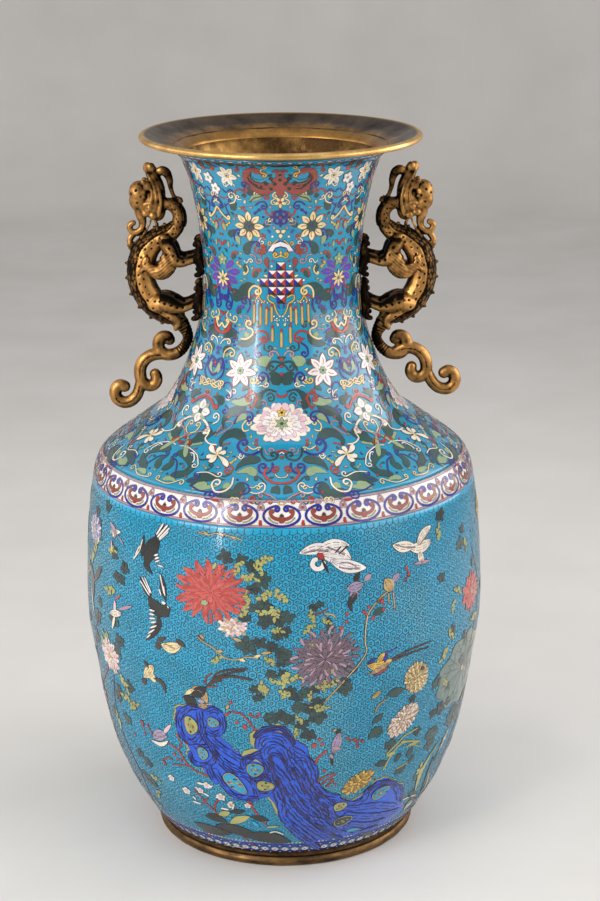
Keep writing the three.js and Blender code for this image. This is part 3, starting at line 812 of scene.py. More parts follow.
class Art:
    """Enamel cells and the gilt wire round them, gathered into one piece per colour."""

    def __init__(self, region, slot, copies, wire="wire", edge=0.55, weight=1.0):
        self.region, self.slot, self.copies = region, slot, copies
        self.wire, self.edge, self.weight = wire, edge, weight
        self.cells, self.count = {}, 0

    def lay(self, colour, theta0, z0, uv, faces, lift, copies=None):
        """Puts a flat drawing, in millimetres round (theta0, z0), on the body."""
        r0, s0 = radius(z0), arc(z0)
        for turn, mirror in copies or self.copies:
            theta = mirror * (theta0 + np.degrees(uv[:, 0] / r0)) + turn
            points = on_body(theta, s0 + uv[:, 1], lift)
            if turn in (0, 45):
                TAKEN.append(np.stack([np.abs((theta + 45) % 90 - 45), s0 + uv[:, 1]], -1))
            verts, quads, base = self.cells.setdefault(colour, ([], [], [0]))
            f = np.where(faces >= 0, faces + base[0], -1)
            if mirror < 0:
                f = np.where(f[:, 3:] < 0, f[:, [2, 1, 0, 3]], f[:, ::-1])
            verts.append(points)
            quads.append(f)
            base[0] += len(points)

    def lift(self, layer):
        self.count += 1
        return GROUND_LIFT + LAYER_STEP * layer + 0.02 * (self.count % 6)

    def strip(self, colour, theta0, z0, line, half, layer=1, edge=None, wire=None, copies=None):
        """A ribbon of changing half width along a line, over a slightly wider one of wire."""
        n = len(line)
        half = np.full(n, half) if np.isscalar(half) else half
        along = tangents(line)
        side = np.stack([-along[:, 1], along[:, 0]], -1)
        across = max(1, int(math.ceil(2 * half.max() / 5)))
        i, j = np.meshgrid(np.arange(n - 1), np.arange(across), indexing="ij")
        a = i * (across + 1) + j
        faces = np.stack([a + 1, a, a + across + 1, a + across + 2], -1).reshape(-1, 4)
        t = np.linspace(-1, 1, across + 1)
        lift = self.lift(layer)
        edge = self.edge if edge is None else edge
        for tone, grow, height in ((wire or self.wire, edge, lift - WIRE_DROP), (colour, 0, lift)):
            if tone == colour or grow > 0:
                w = half + grow
                centre = line.copy()
                centre[0] -= along[0] * grow
                centre[-1] += along[-1] * grow
                uv = centre[:, None, :] + side[:, None, :] * w[:, None, None] * t[None, :, None]
                self.lay(tone, theta0, z0, uv.reshape(-1, 2), faces, height, copies)

    def stroke(self, colour, shape, half, curl0, curl1, layer, places, edge=None, wire=None,
               copies=None):
        """A ribbon through (angle, height) places, with an optional spiral at either end."""
        p = np.asarray(places, float)
        theta0, z0 = p.mean(0)
        uv = unrolled(p, theta0, z0)
        line = even_line(uv, curl0, curl1)
        t = np.linspace(0, 1, len(line))
        self.strip(colour, theta0, z0, line, half * profile(shape, t), layer, edge, wire, copies)
        if self.region == "belly" and shape == "lens" and half >= 3.2 and colour in PLUMAGE:
            along = tangents(line)
            side = np.stack([-along[:, 1], along[:, 0]], -1) * (half * profile(shape, t))[:, None]
            for place, tone in ((-0.45, "umber"), (0.0, "mauve"), (0.45, "umber")):
                for lo in range(1, len(line) - 3, 4):
                    mark = (line + side * place)[lo:lo + 4]
                    self.strip(tone, theta0, z0, mark, 0.3, layer + 1.0, 0, None, copies)

    def blob(self, colour, theta0, z0, outline, layer=1, edge=None, wire=None, copies=None,
             centre=(0, 0)):
        """A filled cell inside a star-shaped outline of (u, v) points."""
        o, c = np.asarray(outline, float), np.asarray(centre, float)
        n, lift = len(o), self.lift(layer)
        edge = self.edge if edge is None else edge
        reach = np.linalg.norm(o - c, axis=1)
        rings = max(1, int(math.ceil(reach.max() / 6)))
        for tone, grow, height in ((wire or self.wire, edge, lift - WIRE_DROP), (colour, 0, lift)):
            if tone != colour and grow <= 0:
                continue
            out = c + (o - c) * (1 + grow / np.maximum(reach, 0.1))[:, None]
            uv = [c[None, :]] + [c + (out - c) * (k + 1) / rings for k in range(rings)]
            j = np.arange(n)
            faces = [np.stack([np.zeros(n, int), 1 + j, 1 + (j + 1) % n, -np.ones(n, int)], -1)]
            for k in range(rings - 1):
                a, b = 1 + k * n, 1 + (k + 1) * n
                faces.append(np.stack([a + j, b + j, b + (j + 1) % n, a + (j + 1) % n], -1))
            self.lay(tone, theta0, z0, np.concatenate(uv), np.concatenate(faces), height, copies)

    def disc(self, colour, theta0, z0, ru, rv=None, layer=1, edge=None, wire=None, copies=None,
             centre=(0, 0), turn=0, wave=0, lobes=0):
        rv = ru if rv is None else rv
        a = np.linspace(0, 2 * np.pi, max(10, lobes * 6) + 1)[:-1]
        w = 1 + wave * np.cos(lobes * a)
        uv = np.stack([ru * np.cos(a) * w, rv * np.sin(a) * w], -1)
        c, s = math.cos(math.radians(turn)), math.sin(math.radians(turn))
        uv = uv @ np.array([[c, s], [-s, c]]) + np.asarray(centre)
        self.blob(colour, theta0, z0, uv, layer, edge, wire, copies, centre)

    def flower(self, theta0, z0, size, count, petal, edge="wire", heart="celadon", eye="cobalt",
               turn=0, fat=1.0, squash=1.0, vein=None, layer=2, copies=None, start=0.16):
        """Petals round a heart; each has an outline, and a small vein."""
        t = np.linspace(0, 1, 9)
        up = 0.0 if edge == "wire" else 0.95
        for k in range(count):
            a = math.radians(turn) + 2 * np.pi * k / count
            d = toward(a)
            line = np.outer(size * (start + (1 - start) * t), d) * [1, squash]
            w = fat * size * np.pi / count * 0.62
            half = w * np.maximum(np.sin(np.pi * t ** 0.85) ** 0.75, 0.05)
            lay = layer + 0.12 * (k % 2)
            if edge != "wire":
                self.strip(edge, theta0, z0, line * 1.03, half + 0.85, lay, 0.4, None, copies)
                self.strip(petal, theta0, z0, line, half, lay + up, 0.0, None, copies)
            else:
                self.strip(petal, theta0, z0, line, half, lay, None, None, copies)
            if vein:
                mid = np.outer(size * (0.35 + 0.4 * t), d) * [1, squash]
                mid = mid + np.outer(np.sin(t * np.pi) * w * 0.25, [d[1], -d[0]])
                self.strip(vein, theta0, z0, mid, 0.45, lay + up + 0.9, 0, None, copies)
        if heart:
            self.disc(heart, theta0, z0, size * 0.2, size * 0.2 * squash, layer + up + 1.4, None,
                      None,
                      copies, lobes=6, wave=0.12)
        if eye:
            self.disc(eye, theta0, z0, size * 0.09, size * 0.09 * squash, layer + up + 2.3, 0.3,
                      None, copies)

    def drawing(self, text, side=1, swirl=1.35):
        """Lines of: colour shape half-width curl curl layer : angle,height angle,height ..."""
        for row in text.strip().splitlines():
            head, places = row.split(":")
            colour, shape, half, c0, c1, layer = head.split()
            points = [(side * float(a), float(z)) for a, z in
                      (q.split(",") for q in places.split())]
            thin = self.weight if shape == "even" else 1
            self.stroke(colour, shape, float(half) * thin, float(c0) * swirl * side,
                        float(c1) * swirl * side, float(layer), points)

    def finish(self):
        for colour, (verts, quads, _) in self.cells.items():
            make(f"{self.region}_{colour}", np.concatenate(verts), np.concatenate(quads),
                 material[colour])


def profile(shape, t):
    if shape == "comma":
        rise = np.sqrt(np.clip(1 - (1 - t / 0.3) ** 2, 0, 1))
        fall = np.clip(1 - np.clip((t - 0.3) / 0.7, 0, 1) ** 1.5, 0, 1)
        return np.maximum(np.where(t < 0.3, rise, fall), 0.1)
    if shape == "lens":
        return np.maximum(np.sin(np.pi * t) ** 0.75, 0.08)
    if shape == "taper":
        return 1 - 0.75 * t
    w = np.ones(len(t))
    w[0] = w[-1] = 0.55
    return w


def spiral(start, heading, size, turns=0.95):
    """Points of a tightening curl; a positive size turns left."""
    points, p, h = [], np.array(start, float), heading
    length, total = 0.0, abs(size) * 2 * np.pi * turns * 0.62
    while length < total:
        r = abs(size) * (1 - 0.72 * length / total)
        ds = max(0.7, r * 0.5)
        h += math.copysign(ds / r, size)
        p = p + ds * np.array([math.cos(h), math.sin(h)])
        points.append(p)
        length += ds
    return np.array(points)


def even_line(uv, curl0=0.0, curl1=0.0):
    line = catmull(uv, 6) if len(uv) > 2 else np.linspace(uv[0], uv[-1], 5)
    gap = lengths(line)
    n = max(4, int(gap[-1] / 2.6) + 1)
    at = np.linspace(0, gap[-1], n)
    line = np.stack([np.interp(at, gap, line[:, k]) for k in (0, 1)], -1)
    if curl1:
        d = line[-1] - line[-2]
        line = np.concatenate([line, spiral(line[-1], math.atan2(d[1], d[0]), curl1)])
    if curl0:
        d = line[0] - line[1]
        line = np.concatenate([spiral(line[0], math.atan2(d[1], d[0]), curl0)[::-1], line])
    return line


# Neck and shoulder: an eighth of the scrollwork, mirrored round the body.
neck = Art("neck", "shoulder_enamel", EIGHT, edge=0.4, weight=0.58)
neck.drawing("""
brick comma 5.5 0 3 1 : 2.2,952 7.7,947 13.3,947 18.2,954 19.3,963 17.2,970 14,972
brick even 3.2 0 0 1 : 0.3,971 2.7,970 4.2,968
black even 1.3 0 0 3 : 16.7,965 16.8,959 14.2,954 11.7,953
black even 1.5 0 0 3 : 6.7,963 4.5,964
black even 1.5 0 0 3 : 5.2,957 3.5,953
black even 1.2 0 0 3 : 10.7,953 8,954
coral even 0.8 0 0 3 : 13.3,948 9.8,946 6.8,948
green even 0.9 0 -3 1 : -0.2,976 3.3,976 6.7,979 9.3,976 12,978 14.5,978
green even 0.8 0 2.5 1 : 16.2,979 19.8,977 23.5,978 26.5,975
yellow even 1.3 -2.5 2.5 1 : 8,973 10.2,972 10.7,967 8.7,966
red even 1.3 0 3 1 : 18.5,975 21.7,976 23.8,974 23.3,970
red even 1.2 0 -3 1 : 13.7,970 12.3,967 10.2,963
mauve even 1.0 0 2 1 : 22.3,959 21,956
ivory even 1.2 2.5 0 1 : 33.8,945 30.7,950 28.3,948 28.3,945
cobalt even 1.2 0 -3 1 : 39,940 42.3,935 44.8,937
cobalt even 1.2 0 3 1 : 37.7,940 35.3,936 32.5,940
cobalt even 1.4 0 -3.5 2 : 18.2,943 18.2,949 20.5,953
leaf comma 5.2 0 0 1 : 19.5,935 18.3,941 19.3,947
green comma 3.5 0 0 1 : 21.2,933 24.3,934
red even 1.5 -3.5 0 1 : 23,939 24.8,942 27.8,940 28.8,936
ivory even 1.1 0 2.5 1 : 24.5,928 27,928
cream even 1.5 0 -4 1 : 33.8,921 29.8,924 28.5,932 30,936
cream even 1.4 0 4 1 : 42,920 46.2,925 46.2,932
red even 0.9 0 0 1 : 40.8,929 37.7,927 34,931
cobalt even 1.1 0 3 1 : 37.8,920 37.5,915 36.5,910 35.5,905
cobalt even 1.1 0 -2.5 1 : 38.2,915 35.5,920 33.5,921
leaf comma 5.0 0 0 1 : 33.3,913 30.8,918 28.7,923
celadon lens 4.0 0 0 1 : 19.2,926 16.5,931 13.3,933 10.7,934
leaf even 0.9 0 0 2 : 19.2,925 16.2,931 13,933 9.8,936
cream even 1.4 0 -3 1 : 6.8,938 10.5,937 13.8,940
red even 1.1 3 0 1 : 7,934 8,938 10,940
cream even 1.2 -2.5 0 1 : 4.3,937 2.3,941 1,940
cream even 1.2 0 -2.5 1 : 1.2,932 3.3,931 5.3,928
cobalt even 1.4 0 3.5 1 : 15.8,921 12.8,926 9.8,926 8.5,921
red even 1.4 0 -3.5 1 : 9.3,917 8.8,910 5.7,906
green even 1.0 0 3 1 : 9,904 6.8,899 8,893
leaf even 0.9 0 0 1 : 17,894 14.8,887 14.7,877
mauve even 1.1 0 3 1 : 5.2,896 8.3,895
cream even 1.2 0 -2.5 1 : 1.5,898 4.3,900 5.3,903
red even 1.7 0 -4 1 : 26.3,880 22.5,876 18.5,880
yellow even 1.1 0 2.5 1 : 1.8,875 4.3,870 6.5,867
ivory even 1.1 0 -3 1 : 10.5,875 13,877 14.7,873
red even 1.2 2.5 0 1 : 11.3,881 13.7,882 15.5,880
leaf comma 5.5 0 0 1 : 22.5,853 24.3,860 21.8,868 18.7,871
cobalt even 1.4 0 3 2 : 20.7,863 19.7,869 16.2,871
brick comma 3.8 0 0 1 : 11.7,854 11.8,860 9.8,866
red even 1.2 0 -2 2 : 13.5,851 13.5,858 11.5,864
red even 1.3 0 -3 1 : 14.5,867 17.5,864 18.5,858 16,855
celadon comma 4.2 0 0 1 : 30.5,878 30.5,871 28.8,865
cobalt even 1.5 0 3.5 2 : 32.8,870 33.3,878 30.5,886 27.7,884
leaf comma 4.8 0 0 1 : 36.3,874 36.2,879 32.7,885
mauve even 1.4 0 -3.5 1 : 22.3,853 18.3,852 17.5,845
ivory even 1.1 0 2.5 1 : 26.7,845 24.5,841 22.8,846
celadon lens 2.2 0 0 1 : 39.3,869 39,864 39.2,859
leaf comma 7.5 0 0 1 : 25.8,791 27.5,802 23.8,811 18.8,813
cream even 2.0 0 4.5 2 : 23,793 22.8,804 19.3,811 15.3,809
red even 1.7 0 0 2 : 21.8,793 19.8,798 16.7,797
cobalt even 1.7 0 -4 2 : 24.5,774 22.2,783 23.2,793 26.7,794
mauve even 1.2 0 3.5 1 : 26.8,770 23.3,769 22.3,764
green even 1.4 0 3.5 1 : 20.3,755 19.8,761 16.7,763
cream even 2.0 4.5 0 2 : 23.2,754 19.8,752 20,745 24.3,739 28.3,739
celadon comma 4.5 0 0 1 : 25.8,744 21.8,746
leaf lens 6.0 0 0 1 : 30.3,731 25.8,733 20.7,738 18,747
red even 1.9 0 4 1 : 18.7,747 14.3,751 9.7,748 8.7,741
red even 1.2 0 0 1 : 13.2,738 15.3,741
cobalt even 1.6 0 -4 1 : 12.7,736 16.7,729 17.2,721
green even 1.1 0 -3.5 1 : 11.3,735 11.2,728 8.5,725
mauve even 1.5 0 -3 1 : 1.3,719 3.7,725 6.5,725
celadon comma 8.0 0 0 1 : 13,706 10.8,713 6.3,717
leaf even 2.0 0 0 2 : 9,700 8.8,705 5.5,712 -0.2,710
leaf even 1.4 0 4 2 : -0.3,708 2.2,707 3.8,702
green lens 2.0 0 0 1 : -0.2,717 2.8,717
celadon comma 4.5 0 0 1 : 9.5,692 9,685 10.7,679
cobalt even 1.7 -4 0 2 : 13.3,694 11.2,698 8.5,695 7.7,688 8.2,680
ivory even 1.2 0 -3 2 : 13.2,680 11.3,682 9.7,680
leaf comma 8.5 0 0 1 : 5.2,684 3.5,690 5.3,696 7.5,697
cream even 1.3 -3 0 1 : 12,689 12.5,685 14.7,683
leaf even 1.7 0 0 1 : 11.5,664 11.2,673 7.5,677 3,674
red even 2.4 0 0 2 : -0.2,668 2,669 2.8,672
cream even 1.7 0 4 2 : 39,711 39,719 35,725 31.8,722
celadon comma 3.5 0 0 1 : 37,718 36.2,712
leaf comma 4.5 0 0 1 : 40.2,717 37.8,724 34.7,727
cobalt even 1.5 0 3.5 1 : 34.7,674 34.8,679 31.7,681 29,674 28.3,665
ivory even 1.2 0 3 1 : 32.8,672 30,669 28.8,663
leaf comma 6.5 0 0 1 : 41.8,737 39,743 33.3,743 30.7,738
ivory even 1.4 0 3 2 : 44,727 41.5,734 37.5,736
cobalt even 1.5 0 0 1 : 36.3,751 32.7,748 30,745
cobalt even 1.2 0 -3 1 : 30,735 32.5,738
red even 1.6 0 0 1 : 42.5,747 37.8,750 36.2,759
red even 1.0 0 0 1 : 43.2,757 41.8,761 43.7,764
cream even 1.5 0 -4 1 : 39.7,773 41.5,766 37.8,761 34.7,759
cobalt even 1.8 0 4.5 1 : 38.5,797 36.8,788 38.2,776 40.8,776
leaf comma 8.5 0 0 1 : 33.2,787 33.7,798 38,803
leaf even 0.9 0 0 1 : 45,793 46.7,786
red even 1.3 0 0 2 : 41.5,807 38,805 38.7,800
celadon comma 3.0 0 0 2 : 40.5,698 41.3,690
cobalt even 1.7 0 0 1 : 40.8,682 37.7,688 37.2,697 38.8,706 42,708
cobalt even 1.4 0 3 1 : 42,708 43.2,705 43.3,700
cream even 1.5 0 -3 1 : 43.2,677 39.3,674 36.2,676
red even 1.4 3 0 1 : 16.8,670 14.8,671 12.8,664
yellow even 1.6 3.5 0 1 : 15.5,684 13.5,688
leaf even 0.9 0 0 1 : 31.7,697 29.8,704
green lens 5.0 0 0 1 : 18.5,706 16.8,714
green lens 3.4 0 0 1 : 22.5,673 20.7,678 18.3,677
leaf comma 6.0 0 0 1 : 11.3,653 13.2,663 11,672 7.8,676
red even 1.9 -3.5 0 2 : 19.2,667 15.8,672 13.8,665 14.8,657 16,651
celadon lens 6.2 0 0 1 : 27.7,658 24.3,660 20.7,660 16.5,659
cobalt even 1.5 0 0 2 : 27.3,662 23.8,663 20.5,667 18.7,671
mauve even 1.3 0 -3.5 1 : 4.7,655 7.7,656 8.3,661
green even 1.3 4 0 1 : 4.3,669 6.3,673 8.3,669
leaf comma 7.0 0 0 1 : 19,655 23.2,649 27.5,644 29.2,635 28.2,626
celadon comma 4.6 0 0 1 : 17.5,644 20.5,641 22.7,634
cobalt even 1.8 0 4 2 : 23.3,633 22.5,642 19.8,648 15.8,648 14.3,643
mauve even 1.3 0 0 1 : 31,617 30.3,626 27.7,634 24.5,635 24.5,630 27.3,623 30.2,618
red even 0.9 0 0 2 : 31,620 28.5,626 27,629
cream even 1.6 0 4 1 : 15.2,628 17.7,626 19,632 17.7,638
leaf comma 7.0 0 0 1 : 16,617 20.7,623 24.5,621 26.8,614 25.5,607
cobalt even 2.4 0 5 2 : 8.7,607 11.7,603 15.8,604 18.5,610 18.2,615
cream even 1.6 3 0 1 : 9.8,610 11.7,608 14.2,611
red lens 1.8 0 0 1 : 14.5,610 14.5,606
leaf even 1.9 0 -5 2 : 8.3,610 7.7,603 5.2,598 2.3,600
mauve even 1.4 0 -4 1 : 7,609 5.8,604 3.7,605
red even 2.2 0 0 2 : -0,608 1.5,607 2,605
ivory even 1.3 0 0 3 : -0,606 1,604
leaf comma 7.0 0 0 1 : 8,598 11.8,598 15,593 16.3,587
celadon comma 6.4 0 0 1 : 8.8,583 11.3,588 14.3,586 15.8,584
cobalt even 2.0 0 4.5 2 : 3.5,596 3.3,591 4.8,586 7.2,586 8.3,591
red even 2.6 0 0 2 : -0,576 3,577 5.7,583 5.8,588 4.7,591
red even 1.7 0 3 2 : 3,592 1.3,592 1.5,588
cream even 1.2 0 0 3 : -0,581 1.5,582 2.2,585
ivory even 2.1 0 5.5 2 : 16.3,580 16.2,572 18,566 20.8,565 22.7,571
celadon comma 5.5 0 0 1 : 17.8,575 17.8,568 20,567
leaf comma 8.0 0 0 1 : 13.5,576 13.7,566 16.8,561 20.5,562
cobalt even 1.6 0 4 1 : 13.3,576 11,574 10,568 11.3,565
ivory even 1.4 0 -4 1 : 9.8,567 7.7,566 5.5,569 5.3,574
cream even 1.3 3 0 1 : 8.2,573 9,571 10.2,572
leaf comma 7.0 0 0 1 : 3,572 1.5,569 0.8,566
leaf even 1.2 0 -3 1 : 5,575 6.8,580 7.8,582
cream even 1.5 3.5 -3 1 : 15.3,556 14,553 12.8,557
red even 1.4 0 3 1 : 8.2,556 9.3,557 9.5,561
red even 1.2 0 3 1 : 5.2,557 4,560
mauve even 1.4 -3.5 0 1 : 5.8,567 3.2,564 1.5,560
red even 1.0 0 0 2 : 5.5,566 3.5,563
green even 1.2 0 3 1 : 8.7,564 6.8,563 6.3,558
yellow even 1.3 0 0 1 : -0,555 0.8,556 1.2,559
mauve even 1.4 0 -3.5 1 : 11.3,563 12.2,560 11.3,556
cobalt even 1.8 -4 0 1 : 21.3,558 23,557 23.7,562 22.2,565
red lens 1.6 0 0 1 : 21.5,557 18.3,556
leaf comma 7.0 0 0 1 : 21.5,578 25.5,578 28.5,573 29.8,567
celadon comma 6.4 0 0 1 : 24,569 27,569 28.7,563
red even 1.8 0 4 1 : 20.3,588 19.3,591 17.5,589 17.7,585
green even 1.5 0 0 1 : 17.5,584 19.7,580 21.7,582
green even 1.3 0 -3 1 : 28.2,580 26.5,584 25.3,588
red even 1.5 0 3 1 : 26.5,606 28,603 29.5,605
cobalt even 1.7 0 -4 1 : 31.2,572 28.8,574 28.3,578
leaf comma 7.5 0 0 1 : 33.3,622 37.2,617 39.3,610 39.8,604
ivory even 1.8 0 -4.5 2 : 27.7,609 31.5,609 34.7,613 34.5,618
ivory even 1.5 0 -4 2 : 34.7,629 32.2,634 32.7,640
cream even 1.5 0 -3.5 1 : 44.8,614 41.8,618 41.2,625
green even 1.2 0 0 1 : 38.3,624 37.5,630 34.8,630
ivory even 1.6 0 -4 1 : 34.5,586 33.5,591 35.3,597
ivory even 1.4 0 -3 1 : 17.2,601 15.5,598 14.7,601
celadon lens 3.5 0 0 1 : 39.2,603 37.5,607 34.2,608
cobalt even 1.5 0 3.5 1 : 39.2,601 35.3,597
leaf comma 5.5 0 0 1 : 34.3,652 34.7,659 40,661
ivory even 1.3 3.5 0 1 : 29.3,670 29,663 31.5,659
cobalt even 1.6 4 0 1 : 29,650 30.8,653
cream even 1.4 -3 3 1 : 50.7,681 46.3,675 44.2,680
mauve even 1.2 0 -3 1 : 51,651 49,659 43.7,662
leaf even 1.6 0 0 1 : 34,594 30.5,593 27,596
""")
# Flowers of the neck and shoulder.
neck.flower(32, 960, 15.5, 6, "ivory", heart="cream", eye="green", turn=20, fat=0.8, vein="tan")
for u, v in ((-4.5, 7), (4.5, -7)):
    neck.flower(u * 0.45, 947 + v, 8.5, 5, "white", "mauve", "celadon", None, 20, 0.85, layer=2.2,
                copies=DIAGONAL)
neck.flower(21.3, 892, 20.5, 8, "cream", heart="green", eye="cobalt", turn=0, fat=0.8,
            vein="brick",
            start=0.34)
neck.disc("green", 21.3, 892, 8, 8, 1.2)
for k, (a, far) in enumerate(((-150, 24), (-118, 27), (-84, 28), (-48, 25), (48, 25), (84, 28),
                              (118, 27),
                              (150, 24), (180, 25))):
    t = np.linspace(0, 1, 9)
    d = toward(math.radians(a))
    line = np.outer(far * (0.3 + 0.7 * t), d) + [0, 3]
    half = 4.3 * np.maximum(np.sin(np.pi * t ** 1.5) ** 0.7, 0.1)
    neck.strip("violet", -0.5, 822, line, half, 2 + 0.1 * (k % 2), 0.75, "red", DIAGONAL)
    neck.strip("red", -0.5, 822, line[3:7] + [1, 0], 0.5, 2.8, 0, None, DIAGONAL)
neck.flower(-0.5, 816, 12, 8, "cream", heart="celadon", eye="green", fat=0.6, layer=3.4,
            copies=DIAGONAL)
neck.flower(-0.5, 842, 9, 5, "celadon", heart="cream", eye=None, fat=0.8, layer=3.2,
            copies=DIAGONAL)
neck.flower(25.4, 698, 22, 7, "white", "brick", "celadon", "green", 8, 0.78, 1.04, "red", 2)
neck.flower(0, 641, 17, 4, "white", "mauve", None, None, 0, 0.72, 1.0, "mauve", 2.4, DIAGONAL)
neck.flower(0, 641, 16, 4, "celadon", "mauve", "green", None, 45, 0.5, 1.0, None, 2, DIAGONAL)
for a, b in ((-10, 13), (48, 22), (105, 15), (150, 15), (228, 27), (285, 12)):
    d = toward(math.radians(a))
    t = np.linspace(0, 1, 8)
    bent = np.outer(b * (0.05 + 0.95 * t), d) + np.outer(np.sin(t * 3) * 2.5, [d[1], -d[0]])
    neck.strip("ivory", 25.5, 600, bent, 3.7 * profile("comma", 1 - t), 2, 0.9, "umber")
    neck.strip("cream", 25.5, 600, bent * 0.6, 0.6, 2.6, 0)
# Large leaves of the shoulder with pale curls along them.
neck.drawing("""
green comma 6.5 0 0 1.2 : 43,596 38,594 34,586 35,580
green comma 6.0 0 0 1.2 : 39,573 34,578 31,586
green comma 5.5 0 0 1.2 : 32,571 26,576 19,577
celadon comma 4.5 0 0 1.2 : 29,566 24,568 20,571
green comma 6.0 0 0 1.2 : 41,607 36,613 31,622
green comma 5.5 0 0 1.2 : 44,576 42,583 44,590
celadon comma 4.0 0 0 1.2 : 41,568 38,570 35,568
green comma 5.0 0 0 1.2 : 20,566 15,566 11,571
""")
for colour, c0, c1, places in (
        ("ivory", 0, 5, [(44, 601), (40, 602), (34, 597), (31, 588)]),
        ("cream", 4, 5, [(43, 566), (38, 565), (34, 571)]),
        ("ivory", 0, -5, [(30, 580), (26, 582), (22, 579)]),
        ("cobalt", 0, 5, [(30, 568), (25, 563.5), (20, 566)]),
        ("red", 3, 3, [(44, 604), (42, 609), (40, 606)]),
        ("mauve", 4, -4, [(44.5, 611), (41, 617), (36, 621)]),
        ("cobalt", 5, 0, [(43, 589), (40, 586), (37, 573)])):
    neck.stroke(colour, "even", 0.75, c0, c1, 2.2, places)
# Small red buds and beads between the scrolls.
for a, z, r in ((44.5, 896, 1.6), (43, 770, 1.8), (12.5, 566, 1.8), (33, 575, 1.8), (17, 655, 1.6),
                (27, 640, 1.7), (38, 665, 1.6), (9, 780, 1.4), (30, 905, 1.5), (35, 800, 1.6)):
    neck.disc("red", a, z, r, r, 2)

# Ornaments that sit on the four main axes.
crest = Art("crest", "shoulder_enamel", FOUR)
crest.disc("brick", 0, 952, 13, 9, 1.8, lobes=5, wave=0.1, turn=90)
crest.disc("brick", 0, 965, 6, 4, 2)
crest.disc("brick", 0, 939, 5, 6, 1.8)
for side in (-1, 1):
    crest.drawing("""
brick comma 5.2 0 0 1.6 : 3,946 9,941 15,945 19.5,953 20,963 16,967
turquoise comma 1.2 0 0 2.7 : 6,961 11,955 15,957 17,962
black comma 1.5 0 0 2.6 : 9,944.5 13,946.5 17.5,954 18.5,960 17,963
""", side, 1)
    for a, z, ru, rv in ((5.4, 959, 3.2, 2.6), (3.0, 951.5, 2.6, 2.4), (8.2, 951.5, 2.8, 2.5),
                         (5.4, 944.5, 2.4, 2.2),
                         (11.2, 947, 2.0, 2.0)):
        crest.disc("black", side * a, z, ru, rv, 2.8, 0.25, turn=side * 20)
crest.disc("black", 0, 964, 2.6, 1.8, 2.8, 0.2)
crest.disc("black", 0, 957, 2.4, 2.4, 2.8, 0.2)
# A looped knot in cobalt.
for k in range(4):
    a = math.radians(45 + 90 * k)
    c = toward(a) * 5.4
    b = np.linspace(0, 2 * np.pi, 15)
    ring = np.stack([c[0] + 4.6 * np.cos(b), c[1] + 4.6 * np.sin(b)], -1)
    crest.strip("cobalt", 0, 905, ring, 1.25, 2)
    arm = np.outer(np.linspace(9, 13, 5), toward(a + math.pi / 4))
    crest.strip("cobalt", 0, 905, arm, 1.2, 2)
crest.disc("red", 0, 905, 1.8, 1.8, 2.6)
# Stone chime above the chequered lozenge.
for side in (-1, 1):
    for tone, grow, layer in (("cobalt", 1.5, 1.8), ("white", 0, 2.6)):
        arm = np.array([(0, 4 + grow), (side * (11.5 + grow), -1), (side * (17 + grow), -9),
                        (side * (10.5 - grow), -9.5 - grow * 0.6), (side * 7.5, -4 - grow),
                        (0, -2 - grow)])
        crest.blob(tone, 0, 868, arm[::-side], layer, 0.5, centre=(side * 8, -1.5))
for a, z in ((0, 853), (0, 857)):
    crest.disc("yellow", a, z, 1.6, 2.0, 1.6)
crest.flower(0, 926, 8.5, 5, "cream", heart="red", eye=None, fat=0.6, turn=180)
crest.flower(0, 884, 7.5, 3, "cream", heart=None, eye=None, fat=0.5, turn=180)
# Chequered lozenge of little pyramids.
cell = 11.2
for row, count in enumerate((1, 3, 5, 3, 1)):
    for k in range(count):
        c = np.array([(k - (count - 1) / 2) * cell, (2 - row) * cell])
        h = cell / 2 - 0.25
        corners = [c + [-h, h], c + [h, h], c + [h, -h], c + [-h, -h]]
        for tone, i in (("white", 0), ("red", 1), ("black", 2), ("cobalt", 3)):
            tri = np.array([corners[i], corners[(i + 1) % 4], c])
            crest.blob(tone, 0, 816, tri[::-1], 2.4, 0, centre=tri.mean(0))
        crest.blob("wire", 0, 816, np.array([c + [-h - 0.8, h + 0.8], c + [-h - 0.8, -h - 0.8],
                                             c + [h + 0.8, -h - 0.8], c + [h + 0.8, h + 0.8]]),
                                             1.6, 0,
                   centre=c)
def tassel(a, z0, z1, half, rise, ru, rv):
    """A hanging tassel with a bright thread in it and a bead on top."""
    crest.stroke("tan", "even", half, 0, 0, 2, [(a, z0), (a, z1)], 0.5)
    crest.stroke("yellow", "even", 0.5, 0, 0, 2.8, [(a, z0 - 1), (a, z1 + 1)], 0)
    crest.disc("red", a, z0 + rise, ru, rv, 2.8, 0.3)


# Ribbons, strings of beads and tassels.
for side in (-1, 1):
    crest.drawing("""
yellow even 0.8 0 0 2 : 4,796 8.5,800 9,793 5,788
yellow even 0.7 0 0 2 : 5,788 3.5,778 1,770
yellow even 0.7 0 0 2 : 16,812 15.5,796 11.5,788
yellow even 0.7 0 0 2 : 15.5,800 19,789
yellow even 0.8 0 3 2 : 0.5,853 3.5,850 5,853
""", side, 1)
    for a, z0, z1 in ((6.6, 784, 763), (10.3, 781, 759), (14.5, 784, 759), (19, 786, 761)):
        tassel(side * a, z0, z1, 1.6, 2.0, 1.4, 2.0)
    for k in range(6):
        crest.disc("white", side * (9.5 + 2.1 * k), 789 + 2 * (k % 2), 0.9, 0.9, 3, 0.35,
                   "dark_wire")
    for k in range(3):
        crest.disc("white", side * (1 + 2 * k), 771 - 3 * (k % 2), 1.2, 1.2, 3, 0.4, "dark_wire")
        crest.disc("white", side * (1.5 + 1.4 * k), 766 - k % 2, 0.9, 0.9, 3, 0.35, "dark_wire")
    crest.stroke("brick", "comma", 3.2, 0, 0, 2,
                 [(side * 9.5, 850), (side * 10, 842), (side * 8.5, 835)])
